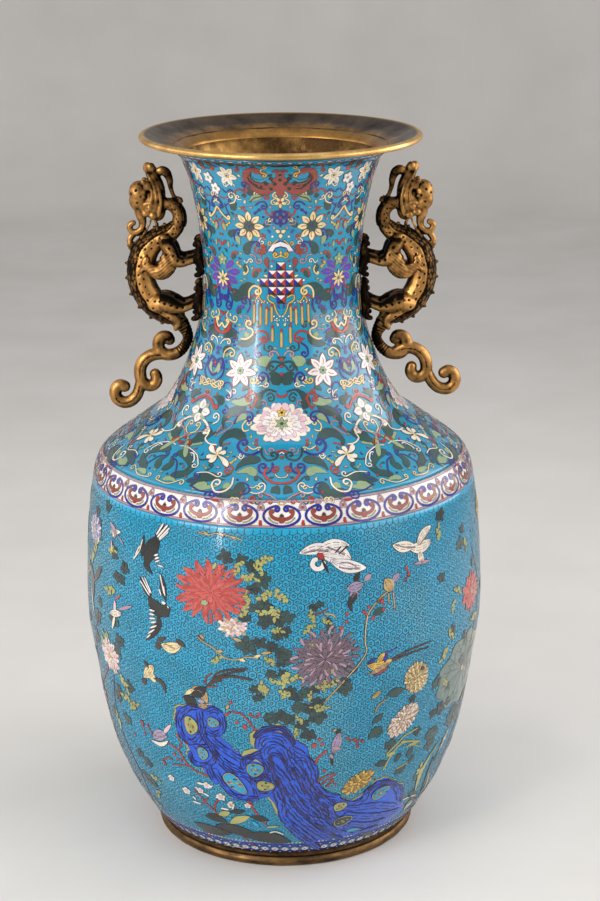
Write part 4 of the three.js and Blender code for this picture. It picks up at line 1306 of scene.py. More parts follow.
for a, z0, z1 in ((-6, 755, 737), (0, 750, 730), (6, 757, 735)):
    tassel(a, z0, z1, 1.7, 2.5, 1.6, 2.2)
for z, r in ((715, 2.6), (706, 2.0), (696, 2.4), (601, 2.4)):
    crest.disc("red", 0, z, r, r * 0.8, 2.6)
# The large pink lotus of the shoulder.
for ring_size, count, tone, lay in ((37, 17, "ivory", 1.6), (31, 15, "pink", 2.1),
                                    (24, 12, "white", 2.7),
                                    (16, 9, "ivory", 3.3)):
    t = np.linspace(0, 1, 9)
    for k in range(count):
        a = 2 * np.pi * (k + 0.3 * math.sin(3.1 * k)) / count + ring_size
        d = toward(a)
        far = ring_size * (1 + 0.07 * math.sin(2.3 * k))
        line = np.outer(far * (0.25 + 0.75 * t), d) * [1.08, 0.74]
        line += np.outer(1.6 * math.sin(1.9 * k) * t, [d[1], -d[0]])
        half = 0.66 * far * np.pi / count * np.maximum(np.sin(np.pi * t ** 1.7) ** 0.6, 0.2) + 0.8
        crest.strip(tone, 0, 636, line, half, lay + 0.1 * (k % 3), 0.55, "mauve")
        crest.strip("mauve", 0, 636, line[3:7], 0.4, lay + 0.75, 0)
for side in (-1, 1):
    crest.disc("pink", 0, 655, 5, 6.5, 2.9, 0.5, "mauve", centre=(side * 5, 0), turn=side * 20)
crest.flower(0, 636, 9, 6, "celadon", heart="green", eye=None, fat=0.7, layer=4.6)
crest.flower(0, 649, 6.5, 5, "yellow", heart="green", eye="black", fat=0.7, layer=4.4)

# Ornaments on the four axes between them.
off = Art("interval", "shoulder_enamel", DIAGONAL, edge=0.5)
for side in (-1, 1):
    off.drawing("""
cobalt even 1.5 0 3.5 2 : 0,686 6,697 5,709 1,706
celadon comma 3.0 0 0 2 : 3.4,704 3.2,696 0,689
cream even 0.9 0 -3 2 : 0,676 4,672 7,675
red even 1.8 0 0 2 : 0,742 6,747 7.5,757
cream even 1.4 0 3 2.5 : 0,756 3,750 6,758
cobalt even 1.7 0 -4 2 : 1.5,822 5,808 4,790
cream even 1.2 0 3 2 : 0,915 4,905 8,899
cobalt even 1.2 0 -3 2 : 0,930 3,924 5,917
celadon comma 3.6 0 0 2 : 7,592 4,603 0,615
red even 1.6 0 3 2 : 0,660 5,655 8,648
ivory even 1.5 0 -4 2 : 0,635 6,630 10,622
""", side, 1)
for z, r in ((703, 2.2), (768, 2.2), (910, 1.8), (664, 2), (640, 2.2), (610, 2.4)):
    off.disc("red", 0, z, r, r, 3)

# Scalloped edge under the lip.
edge_art = Art("lip_edge", "shoulder_enamel", [(0, 1)])
for k in range(72):
    edge_art.disc("cobalt", k * 5, 981.5, 5.2, 2.6, 0.6)
    edge_art.disc("white", k * 5, 982, 3.4, 1.4, 1.4, 0.2)

# Small scrolls, buds and leaves that fill the ground between the drawn ones.
fill_rng = np.random.default_rng(3)
taken = np.concatenate(TAKEN)
TONES = ("red", "cream", "cobalt", "mauve", "ivory", "celadon", "red", "violet", "yellow", "green")
for need, tries in ((7.6, 1100), (5.6, 1500), (3.6, 2500)):
    spots = np.stack([fill_rng.uniform(0.5, 44.5, tries), fill_rng.uniform(565, 979, tries)], -1)
    for number, (a, z) in enumerate(spots):
        dx = np.radians(taken[:, 0] - a) * radius(z)
        free = math.sqrt((dx ** 2 + (taken[:, 1] - arc(z)) ** 2).min())
        if free < need:
            continue
        reach = min(free, need * 1.25)
        h = float(fill_rng.uniform(0, 2 * np.pi))
        d, s = np.array([math.cos(h), math.sin(h)]), np.array([-math.sin(h), math.cos(h)])
        t = np.linspace(0, 1, 8)
        before = len(TAKEN)
        if need > 7:
            line = np.outer((t - 0.5) * 1.7 * reach, d) + np.outer((t - 0.5) ** 2 * reach * 1.4, s)
            neck.strip("green" if number % 4 else "celadon", a, z, line,
                       0.5 * reach * profile("comma", t), 1.2)
            line = np.outer((t - 0.5) * 1.5 * reach,
                            d) + np.outer(((t - 0.5) ** 2 * 1.6 - 0.42) * reach, s)
            curl = even_line(line, 0, reach * 0.26)
            neck.strip(TONES[number % 9], a, z, curl, 0.85, 2)
        elif need > 5:
            bend = 1 if number % 2 else -1
            line = np.outer((t - 0.5) * 0.95 * reach,
                            d) + np.outer(np.sin(t * np.pi) * 0.22 * reach * bend, s)
            curl = even_line(line, -bend * reach * 0.26,
                             bend * reach * (0.22 if number % 3 else -0.22))
            neck.strip(TONES[number % 10], a, z, curl, 0.8, 1.4)
            if number % 3 == 0:
                neck.disc("red", a, z, 1.1, 1.1, 2, 0.3, centre=tuple(s * 0.55 * reach * -bend))
        elif number % 4 == 0:
            neck.disc(TONES[number % 6], a, z, 1.5, 1.5, 1.4)
        else:
            line = np.outer((t - 0.5) * 1.2 * reach, d) + np.outer(np.sin(t * np.pi) * 0.3 * reach,
                    s)
            tone = TONES[number % 10]
            neck.strip(tone, a, z, line, (1.5 if number % 2 else 0.9) * profile("comma", t), 1.4)
        taken = np.concatenate([taken] + TAKEN[before:])
for art in (neck, crest, off, edge_art):
    art.finish()

# Band below the shoulder: thirty cartouches, each with a red bat, on white.
BAND_MIDDLE = 543.5
band = Art("band", "band_enamel", [(12 * k, 1) for k in range(30)], edge=0.35)
for side in (-1, 1):
    a = np.radians(np.linspace(-90, 72, 22))
    arch = np.stack([side * 23.5 * np.cos(a), -1.5 + 13.6 * np.sin(a)], -1)
    curl = spiral(arch[-1], math.atan2(*(arch[-1] - arch[-2])[::-1]), side * 4.4, 1.0)
    line = np.concatenate([arch, curl])
    band.strip("cobalt", 0, BAND_MIDDLE, line, 1.3, 2)
    wing = even_line(np.array([(0, -6), (side * 7, -5.5), (side * 13, -2), (side * 15, 3)]), 0,
                     side * 2.6)
    band.strip("brick", 0, BAND_MIDDLE, wing, 2.2 * np.linspace(1, 0.5, len(wing)), 2)
    tendril = even_line(np.array([(side * 17, -4), (side * 12, -9), (side * 5, -11)]))
    band.strip("celadon", 0, BAND_MIDDLE, tendril, 0.55, 1.5)
    band.disc("red", 6, 535, 1.5, 1.5, 2, centre=(side * 0.1, 0))
    drop = even_line(np.array([(side * 0.6, 15), (side * 3.4, 11), (side * 4.2, 7)]), 0,
                     side * -1.8)
    band.strip("mauve", 6, BAND_MIDDLE, drop, 0.8, 1.5)
band.disc("brick", 0, BAND_MIDDLE, 6, 3.6, 2.2, centre=(0, -5.5), lobes=3, wave=0.14, turn=90)
band.disc("green", 0, BAND_MIDDLE, 2.6, 1.6, 2.8, centre=(0, -1.5))
band.disc("black", 0, BAND_MIDDLE, 1.4, 1.0, 3.2, 0.2, centre=(0, -1.6))
band.disc("red", 6, 552, 1.5, 1.5, 2)
band.disc("red", 6, 532, 2.0, 2.4, 2, turn=45)
band.finish()
rails = Art("band_rails", "band_enamel", [(0, 1)], edge=0.5)
for z, tone in ((558.6, "mauve"), (528.4, "mauve")):
    a = np.linspace(0, 360, 181)
    for lo in range(0, 180, 20):
        rails.stroke(tone, "even", 1.1, 0, 0, 1, [(b, z) for b in a[lo:lo + 21]])
rails.finish()

# Foot band: white rosettes with red hearts on blue, and a dotted line above.
foot = Art("foot", "rosette_enamel", [(360 / 88 * k, 1) for k in range(88)], edge=0.4)
foot.disc("turquoise", 0, 32.5, 6.2, 6.2, 0.6)
foot.flower(0, 32.5, 4.8, 6, "white", heart="red", eye=None, fat=1.15)
foot.disc("white", 2.05, 39.5, 1.3, 1.0, 1.5, 0.2)
foot.disc("white", 2.05, 26, 1.2, 0.9, 1.5, 0.2)
foot.finish()
dots = Art("foot_dots", "belly_enamel", [(360 / 240 * k, 1) for k in range(240)], edge=0.3)
dots.disc("white", 0, 46.2, 1.5, 1.1, 1.5)
dots.finish()

# Ground of the belly: a honeycomb of thin wire with a small curl in every cell.
def net():
    columns, half, pitch = 176, 0.42, 10.0
    s0, s1 = arc(45.5), arc(526)
    rows = int((s1 - s0) / (pitch * 0.866))
    net_rng = np.random.default_rng(5)
    t, u = np.linspace(0, 1, 4), np.linspace(0, 1, 10)
    for part in range(3):
        verts, faces, base = [], [], 0
        for row in range(rows * part // 3, rows * (part + 1) // 3):
            s = s0 + (row + 0.5) * (s1 - s0) / (rows + 1)
            r = radius(np.interp(s, ARC, Zs))
            scale = r * 2 * np.pi / columns / pitch
            col = (np.arange(columns) + 0.5 * (row % 2)) * 360 / columns
            lines = []
            for a in np.radians((90, 210, 330)):
                bend = net_rng.normal(0, 0.7, columns)[:, None] * np.sin(np.pi * t)
                lines.append(np.stack([5.77 * t * math.cos(a) - bend * math.sin(a),
                                       5.77 + 5.77 * t * math.sin(a) + bend * math.cos(a)], -1))
            turn = net_rng.uniform(0, 2 * np.pi, columns)[:, None]
            turn = turn + np.where(net_rng.random(columns) < 0.5, -7.4, 7.4)[:, None] * u
            reach = 2.6 - 1.7 * u
            lines.append(np.stack([reach * np.cos(turn), reach * np.sin(turn)], -1))
            for line in lines:
                along = np.gradient(line, axis=1)
                along /= np.linalg.norm(along, axis=2, keepdims=True)
                side = np.stack([-along[..., 1], along[..., 0]], -1) * half
                uv = np.stack([line - side, line + side], 2).reshape(columns, -1, 2)
                theta = np.radians(col)[:, None] + uv[..., 0] * scale / r
                up = s + uv[..., 1]
                theta, up = (theta + 0.9 / r * np.sin(37 * theta + 0.23 * up),
                             up + 0.9 * np.cos(41 * theta - 0.19 * up))
                verts.append(on_body(np.degrees(theta).ravel(), up.ravel(), 0.13))
                k = np.arange(line.shape[1] - 1) * 2
                quad = np.stack([k + 1, k, k + 2, k + 3], -1)
                faces.append((np.arange(columns)[:, None, None] * 2 * line.shape[1]
                              + quad).reshape(-1, 4) + base)
                base += len(verts[-1])
        make(f"belly_net_{part}", np.concatenate(verts), np.concatenate(faces),
             material["net_wire"])


net()


# ------------------------------------------------------------------ belly scene
belly = Art("belly", "belly_enamel", FRONT_BACK, wire="dark_wire", edge=0.5)


def mum(art, theta0, z0, ru, rv, tones, outline, turn=0.0, count=120, reach=0.36, ragged=0.08,
        layer=1.4, heart=None):
    """A dense head of narrow round-tipped petals in rings, laid from the rim to the middle."""
    c, s = math.cos(math.radians(turn)), math.sin(math.radians(turn))
    spin = np.array([[c, s], [-s, c]])
    size = math.sqrt(ru * rv)
    art.disc(tones[0], theta0, z0, ru * 0.6, rv * 0.6, layer - 0.8, 0.4, outline, turn=turn,
             lobes=9,
             wave=0.06)
    t = np.linspace(0, 1, 6)
    rings = 1 - 0.23 * np.arange(4)
    for j, rho in enumerate(rings):
        number = max(6, round(count * rho / rings.sum()))
        for k in range(number):
            a = 2 * np.pi * (k + 0.5 * (j % 2) + 0.14 * math.sin(5.1 * k + j)) / number
            tip = rho * (1 + ragged * math.sin(3.7 * k + 2 * j))
            far = max(0.03, tip - reach) + (tip - max(0.03, tip - reach)) * t
            bend = 0.42 * math.sin(1.9 * k + j) * (far - far[0]) ** 2 / reach
            line = np.outer(far, [math.cos(a), math.sin(a)]) + np.outer(bend,
                    [-math.sin(a), math.cos(a)])
            half = 0.9 * np.pi * far * size / number * np.array([1, 1, 1, 1, 0.95, 0.55])
            tone = tones[(2 * k + j) % len(tones)]
            art.strip(tone, theta0, z0, line * [ru, rv] @ spin, half, layer + 0.95 * j, 0.42,
                      outline)
    if heart:
        art.disc(heart, theta0, z0, size * 0.13, size * 0.12, layer + 4.2, 0.4, lobes=7, wave=0.12)


def leaf_cluster(theta0, z0, size, number):
    """A clump of dark round-lobed leaves."""
    start = number * GOLDEN_ANGLE
    tone = ("darkleaf", "leaf", "darkleaf", "darkleaf", "leaf")[number % 5]
    for k in range(7 + number % 3):
        a = start + k * GOLDEN_ANGLE
        off = size * (0.15 + 0.95 * math.sqrt(k / 9))
        c = np.array([math.cos(a) * off, math.sin(a) * off * 0.8])
        belly.disc(tone, theta0, z0, size * 0.36, size * 0.33, 0.2 + 0.5 * (k % 3), 0.5,
                   "dark_wire",
                   centre=tuple(c), turn=math.degrees(a), lobes=3, wave=0.07)
        if k % 3 == 1:
            rib = c + np.outer(np.linspace(-0.2, 0.22, 4) * size, [math.cos(a), math.sin(a)])
            belly.strip("green", theta0, z0, rib, 0.3, 2.3, 0)


def sprig(theta0, z0, size, number, tone="olive"):
    """A short stem with small pale leaves in pairs."""
    a = number * 1.9 + 0.6
    size = size * 1.25
    d, s = np.array([math.cos(a), math.sin(a)]), np.array([-math.sin(a), math.cos(a)])
    t = np.linspace(-1, 1, 7)
    stem = np.outer(t * size, d) + np.outer(t ** 2 * size * 0.3 * math.sin(number * 1.3), s)
    belly.strip(tone, theta0, z0, stem, 0.6, 1.5, 0.35)
    for k in range(9):
        root = stem[(2 * k + 1) % 7]
        way = a + (0.95 if k % 2 else -0.95) + 0.3 * math.sin(number + 2 * k)
        leaf = root + np.outer(np.linspace(0, 0.66, 5) * size, [math.cos(way), math.sin(way)])
        belly.strip(tone, theta0, z0, leaf, 0.2 * size * profile("lens", np.linspace(0, 1, 5)),
                    1.6, 0.4)
    if number % 3 == 0:
        belly.disc("tan", theta0, z0, size * 0.16, size * 0.16, 2.2, 0.3)


def ragged_patch(art, colour, places, centre, layer, edge, wire, number):
    """A filled cell with a knobbly outline."""
    p = catmull(places, 7, closed=True)
    theta0, z0 = centre
    uv = unrolled(p, theta0, z0)
    k = np.arange(len(uv))
    out = uv / np.maximum(np.linalg.norm(uv, axis=1), 1)[:, None]
    uv = uv + out * (1.3 * np.sin(k * 0.9 + number) + 0.9 * np.sin(k * 2.1 + 2 * number))[:, None]
    art.blob(colour, theta0, z0, uv, layer, edge, wire)


# Pierced blue rock.
for places, centre in (
        ([(-24.3, 270), (-30.7, 264), (-33, 247), (-31.8, 219), (-29, 205), (-22, 203),
          (-15.2, 210),
          (-19.3, 233), (-17.2, 248), (-19.8, 273)], (-25, 236)),
        ([(-28.8, 212), (-29.5, 198), (-29.5, 183), (-25.7, 175), (-24.2, 162), (-20.2, 149),
          (-17.3, 131),
          (-14, 126), (-8, 131), (-3.5, 148), (-3, 180), (-11.8, 200), (-15.2, 211), (-22, 215)],
          (-17, 174)),
        ([(-12, 199), (-8.2, 213), (-9.3, 224), (-7.8, 240), (-3.7, 247), (0, 250), (1.5, 238),
          (3.3, 222),
          (4.2, 202), (7.7, 201), (9.3, 180), (10, 152), (2, 148), (-7, 158)], (-1, 190)),
        ([(-5.5, 160), (9.5, 156), (14, 137), (18.2, 129), (22, 119), (27, 125), (30.5, 144),
          (35.3, 142),
          (39.2, 130), (43.8, 115), (46.8, 86), (50, 60), (39.7, 47), (31.3, 46.5), (23, 46.5),
          (10.2, 46.5),
          (4.8, 62), (0.2, 93), (-2, 112)], (24, 85)),
        ([(-5.0, 228), (0.5, 236), (6.5, 215), (8.8, 179), (11.0, 146), (5.5, 130), (0.7, 140),
          (-3.8, 173), (-6.2, 204)], (2.0, 183.4))):
    ragged_patch(belly, "olive", np.array(places) + (np.array(places) - centre) * [0.03, 0.02]
                 + [-0.4, 1.5],
                 centre, 0.2, 0.6, None, places[0][1])
    ragged_patch(belly, "rock", places, centre, 0.6, 0.9, "deep", places[0][1])
rock = Art("rock", "belly_enamel", FRONT_BACK, wire="deep", edge=0.9)
for number, row in enumerate("""
rock even 9 0 0 1 : -23.3,267 -27.7,265 -31.3,247 -31.8,223 -29.5,210 -26,215 -24.2,233 -23.8,251
rock even 8 0 0 1 : -22.8,261 -19.5,270 -17.3,258 -18.2,237 -21,229 -22.8,238
rock even 9 0 0 1 : -24.7,268 -24.3,246 -23.8,223 -21.7,205 -18.7,187 -14.5,167
rock even 10 0 0 1 : -22.5,228 -19.2,213 -15.3,201 -11.8,195
rock even 9 0 0 1 : -22.3,216 -20.2,198 -16.3,185 -12.3,175
rock even 7 0 0 1 : -29.2,196 -29,182 -25.7,176 -22,183 -21,198 -22.8,208 -27.2,204
rock even 9 0 0 1 : -23.3,183 -23.3,163 -21,150
rock even 8 0 0 1 : -21.8,173 -20,157 -17.8,144 -16.3,134 -12.2,130 -8,133
rock even 8 0 0 1 : -19.5,187 -15.7,175 -11.7,169 -9.5,155 -8.3,138
rock even 7 0 0 1 : -12.3,183 -11.5,195 -8.3,201 -5.3,191 -5.3,177 -7.7,166 -10.8,167
rock even 7 0 0 1 : -8.2,162 -6.2,171 -3,167 -2.7,155 -4.7,144 -7.5,145
rock even 9 0 0 1 : -11.5,193 -9,204 -6.3,209
deep even 8 0 0 1 : -8,232 -6.7,241 -3.3,245 0,247 1.5,234 3,220
rock even 10 0 0 2 : -7.5,213 -7,228 -4,237 -0.7,234 1.5,216 2.8,200
rock even 10 0 0 2 : -5.7,199 -5.5,213 -2.7,222 -0.3,208 2,186 5.2,159
deep even 5 0 0 2.5 : -4.3,198 -2.7,206 -0.3,198 1.5,178
rock even 10 0 0 1 : 3.5,200 6.8,197 9,178 9.2,155 12.3,132 16.3,111
rock even 11 0 0 1 : 1.8,198 5,177 7.7,151 11.3,119 16.8,87
rock even 11 0 0 1 : -3.3,190 -0.7,170 2.5,144 6.8,113 12.8,82
rock even 11 0 0 1 : -4.2,177 -1.8,150 1.8,121 6.2,94 13,61
rock even 11 0 0 1 : -2.7,146 -0.7,121 0.2,98 4.7,72 11.8,44
rock even 11 0 0 1 : 5.2,161 9.2,131 14.7,93
rock even 10 0 0 1 : 1,88 5.8,61 13.7,30
deep even 5 0 0 2.5 : -3.3,194 -2.7,167 -0.7,144 0.2,117
deep even 4 0 0 2.5 : 5,173 8,147 10.5,119
rock even 11 0 0 1 : 2,216 5.3,201 8.3,177 9.3,159 12.8,136 18.3,126
rock even 11 0 0 1 : 2.8,190 5.5,170 8.7,149 13.3,125 19.2,104
rock even 11 0 0 1 : 2.2,166 6,141 10.7,118 16.5,92 24.2,69
rock even 11 0 0 1 : 2.3,142 6,117 10.8,93 17.5,70 23.8,54
rock even 11 0 0 1 : 2.3,114 6.7,90 12,68 18.7,48
rock even 9 0 0 1 : 17.5,126 22.2,114 27,116 28.5,130 31.7,139 36.8,134 41.7,112 44,93
rock even 11 0 0 1 : 19.7,110 26.5,101 33.5,97 43.5,83
rock even 11 0 0 1 : 20.8,93 28.7,83 37.7,76 47,68
rock even 11 0 0 1 : 23.8,74 32.3,64 41.2,59
rock even 9 0 0 1 : 27,53 33.2,48 38.7,48
rock even 10 0 0 1 : 15.7,115 17,92 20.8,67
deep even 4.5 0 0 2.5 : 28.3,132 31.7,138 35.7,136 38.8,127 43.2,113 45.8,88
deep even 4.5 0 0 2.5 : 2.8,186 5.2,170 6.7,165
deep even 4 0 0 2.5 : 13,78 18.3,54 25.2,41
""".strip().splitlines()):
    head, places = row.split(":")
    colour, _, half, *_ = head.split()
    points = np.array([tuple(map(float, q.split(","))) for q in places.split()])
    half = float(half)
    points += np.stack([0.35 * np.sin(np.arange(len(points)) * 2.1 + number),
                        1.6 * np.sin(np.arange(len(points)) * 1.7 + 2 * number)], -1)
    rock.stroke(colour, "even", half * 0.5, 0, 0, 1.2 + 0.09 * number, points)
    theta0, z0 = points.mean(0)
    line = even_line(unrolled(points, theta0, z0))
    along = tangents(line)
    cross = np.stack([-along[:, 1], along[:, 0]], -1)
    k = np.arange(len(line))
    for row_of in range(-1, 2):
        wander = half * 0.42 * row_of + 0.55 * np.sin(k * 1.1 + row_of * 2
                                                      + number) + 0.3 * np.sin(k * 2.7 + row_of)
        fold = line + cross * wander[:, None]
        step_on = 7 + (number + row_of) % 5
        for first in range((row_of * 3 + number) % 4, len(line) - 3, step_on + 2):
            piece = fold[first:first + step_on + 1]
            width = (0.55 if (row_of + number) % 2 else 0.4) * profile("lens",
                    np.linspace(0, 1, len(piece)))
            rock.strip("deep" if colour == "rock" else "rock", theta0, z0, piece, width,
                       5.0 + 0.05 * row_of, 0.25,
                       "dark_wire")
for a, z, ru, rv, turn, tone in ((-27.8, 238, 8.5, 12.5, 5, "olive"),
                                 (-20.5, 249, 6.5, 6, 0, "turquoise"),
                                 (-24.8, 197, 6, 8, 10, "turquoise"),
                                 (-15.3, 156, 19, 8.5, -48, "turquoise"),
                                 (-8.7, 181, 10, 9, 20, "turquoise"),
                                 (-5.8, 155, 10.5, 7, 0, "olive"),
                                 (18.7, 112, 8, 6.5, 15, "teal"),
                                 (20.8, 83, 12, 8, 20, "darkleaf"),
                                 (33.3, 121, 13, 8.5, 25, "teal")):
    rock.disc("olive", a, z, ru + 1.5, rv + 1.5, 6.4, 0.9, turn=turn, lobes=3, wave=0.08)
    rock.disc(tone, a, z, ru, rv, 6.9, 0.4, "dark_wire", turn=turn, lobes=3, wave=0.1)
    for k in range(9):
        b = k * 2.4 + a
        spot = (math.cos(b) * ru * 0.2 * (1 + k % 4), math.sin(b) * rv * 0.2 * (1 + k % 4))
        rock.disc(("olive", "red", "celadon", "darkleaf")[k % 4], a, z, ru * 0.15, rv * 0.14, 7.9,
                  0.3, "dark_wire", centre=spot,
                  lobes=3, wave=0.2)

rock.finish()

# Lotus leaves and stems at the right.
for a, z, ru, rv, tone in ((66, 268, 70, 54, "grey"), (66, 196, 24, 17, "darkleaf"),
                           (52, 190, 15, 10, "leaf")):
    belly.disc(tone, a, z, ru, rv, 0.2, 0.6, lobes=9, wave=0.07)
    for k in range(14):
        b = k * math.pi / 7 + 0.2
        ray = np.outer(np.linspace(0.1, 0.9, 9), [ru * math.cos(b), rv * math.sin(b)])
        ray += np.outer(2 * np.sin(np.linspace(0, 3, 9)) * math.sin(3 * k),
                        [-math.sin(b), math.cos(b)])
        belly.strip("leaf", a, z, ray, np.linspace(0.8, 0.45, 9), 1.2, 0)
        for side in (-1, 1):
            twig = ray[5] + np.outer(np.linspace(0, 0.22, 4) * ru,
                                     [math.cos(b + side * 0.7), math.sin(b + side * 0.7)])
            belly.strip("leaf", a, z, twig, 0.4, 1.2, 0)
    belly.disc("tan", a, z, ru * 0.08, rv * 0.08, 2.2, 0.4)

# Flowers.
mum(belly, -19.8, 437, 48, 39, ("coral", "coral", "red"), "brick", count=150, reach=0.38,
    ragged=0.12)
belly.disc("celadon", -21.5, 422, 4.6, 3.6, 6.0, 0.4, lobes=5, wave=0.15)
mum(belly, -13.5, 392, 19, 12, ("ivory", "pink", "tan"), "mauve", count=56, reach=0.45,
    ragged=0.16)
mum(belly, 11.5, 348, 44, 39, ("purple", "purple", "purple", "mauve", "purple"), "umber", 35, 170,
    0.28, 0.14)
mum(belly, 40.8, 294, 21, 25, ("tan", "tan", "cream"), "umber", 30, 110, 0.26, 0.04)
belly.disc("umber", 42.6, 306, 3.2, 2.6, 5.9, 0.3)
mum(belly, 37.7, 233, 29, 19, ("ivory", "pink", "tan"), "umber", 38, 120, 0.26, 0.05)
mum(belly, 23.8, 149, 25, 15, ("ochre", "ochre", "yellow"), "umber", 34, 84, 0.34, 0.05)
mum(belly, -60, 300, 26, 24, ("white", "pink", "ivory"), "coral", 0, 80, 0.36, 0.1, heart="yellow")
mum(belly, 68, 380, 30, 26, ("red", "coral", "coral"), "brick", 0, 90, 0.4, 0.12, heart="celadon")
mum(belly, -70, 470, 24, 20, ("lilac", "white", "lilac"), "violet", 0, 76, 0.36, 0.08,
    heart="yellow")
mum(belly, 84, 480, 22, 20, ("yellow", "cream", "yellow"), "ochre", 0, 76, 0.36, 0.08,
    heart="brick")
mum(belly, -80, 210, 28, 24, ("coral", "pink", "coral"), "brick", 0, 84, 0.4, 0.12,
    heart="celadon")
for a, z, r in ((-25.2, 144, 6), (-33.8, 125, 7), (-20.8, 128, 7), (-17.8, 115, 6),
                (-28, 132, 5.5), (-39, 140, 6),
                (-12, 118, 5)):
    belly.flower(a, z, r, 5, "white", heart="yellow", eye=None, fat=1.05, layer=2.2)
    belly.disc("pink", a, z, r * 0.45, r * 0.45, 3.2, 0.3)

for number, spot in enumerate("""
-15.8,486,10 -11.3,485,7 -8,477,9 -16.2,472,5 -5.5,458,11 -7.8,446,8 -6.8,421,9
-4.5,424,8 -4.7,403,10 -0.2,408,10 -10,405,7 -9.7,367,12 -6.3,373,9 -2.5,367,7
0,359,9 -0.5,344,6 1.3,409,9 -0.7,403,8 0.7,388,8 -1.5,382,6 -3.2,369,6
1,351,11 -0.3,358,8 8.5,421,5 10.2,424,5 12.3,399,5 13,391,5 12.2,345,6
14.7,337,7 17,332,7 17.3,313,7 17.5,300,9 2.2,303,7 3.7,294,8 5.8,300,8
8.2,304,7 4.2,280,9 9.8,286,8 9.8,263,10 -7.3,306,6 -6.5,295,5 -3.2,329,6
0,330,6 -3.5,262,9 1.2,261,9 13.3,313,7 -3.3,262,9 -0.8,267,8 1.8,259,7
5,277,9 7.8,276,9 9.8,262,11 5.5,251,8 7.2,235,9 -2.8,328,6 -7.8,306,6
-7.2,292,5 8.3,304,8 2,304,7 33.8,200,8 40.2,262,6 28,224,8 44.3,207,7
""".split()):
    leaf_cluster(*map(float, spot.split(",")), number)
for number, spot in enumerate("""
-5.2,484,8 -6,473,6 -12,475,7 -9,462,8 -9.7,433,6 -4.5,438,8 -0.7,437,8
-10.2,415,7 -5,414,6 -2.3,415,7 -18.2,344,6 -3.3,348,6 -1.5,413,6 -1.5,391,6
8,407,6 7.2,393,6 11.8,400,5 7.8,368,6 13.7,330,6 11,316,6 13.8,311,7
10.5,307,5 0.8,322,8 3.2,324,6 -5.2,308,7 0.7,299,5 -2.5,318,5 7.3,294,5
9.3,278,5 -5.7,306,6 0.3,320,8 0.7,301,6 3.7,241,5 10.7,275,6 4.7,259,5
""".split()):
    sprig(*map(float, spot.split(",")), number)
for number, spot in enumerate("""
36.5,456,3 37.2,446,3 28.2,417,3.6 22.7,407,3 24,413,2.6 28.5,406,2.8 25.3,397,3.2
17.7,408,2.8 17.5,397,2.6 16,389,3.6 23.3,403,2.4 -35.3,184,3 -30.2,208,3.4 -33.2,217,2.6
-45.2,215,3 -52.8,189,2.4 -14.7,283,2.8 -16.2,264,3 -13.3,253,3 -11,247,4.2 -9.2,267,2.6
-6.8,268,2.8 -34.3,178,2.4 -33.2,177,2 9,218,4 10.5,227,2.8 11.3,219,3 19,224,2.8
21.3,220,2.8 12.3,177,2.6 15,159,2.8 16,153,2.4 13.7,151,2.4 23.8,215,2.2 15.5,169,2
""".split()):
    a, z, r = map(float, spot.split(","))
    belly.disc("red", a, z, r * 0.8, r * 0.8, 2, 0.35)
    belly.disc("coral", a, z, r * 0.3, r * 0.3, 2.5, 0, centre=(-r * 0.2, r * 0.25))

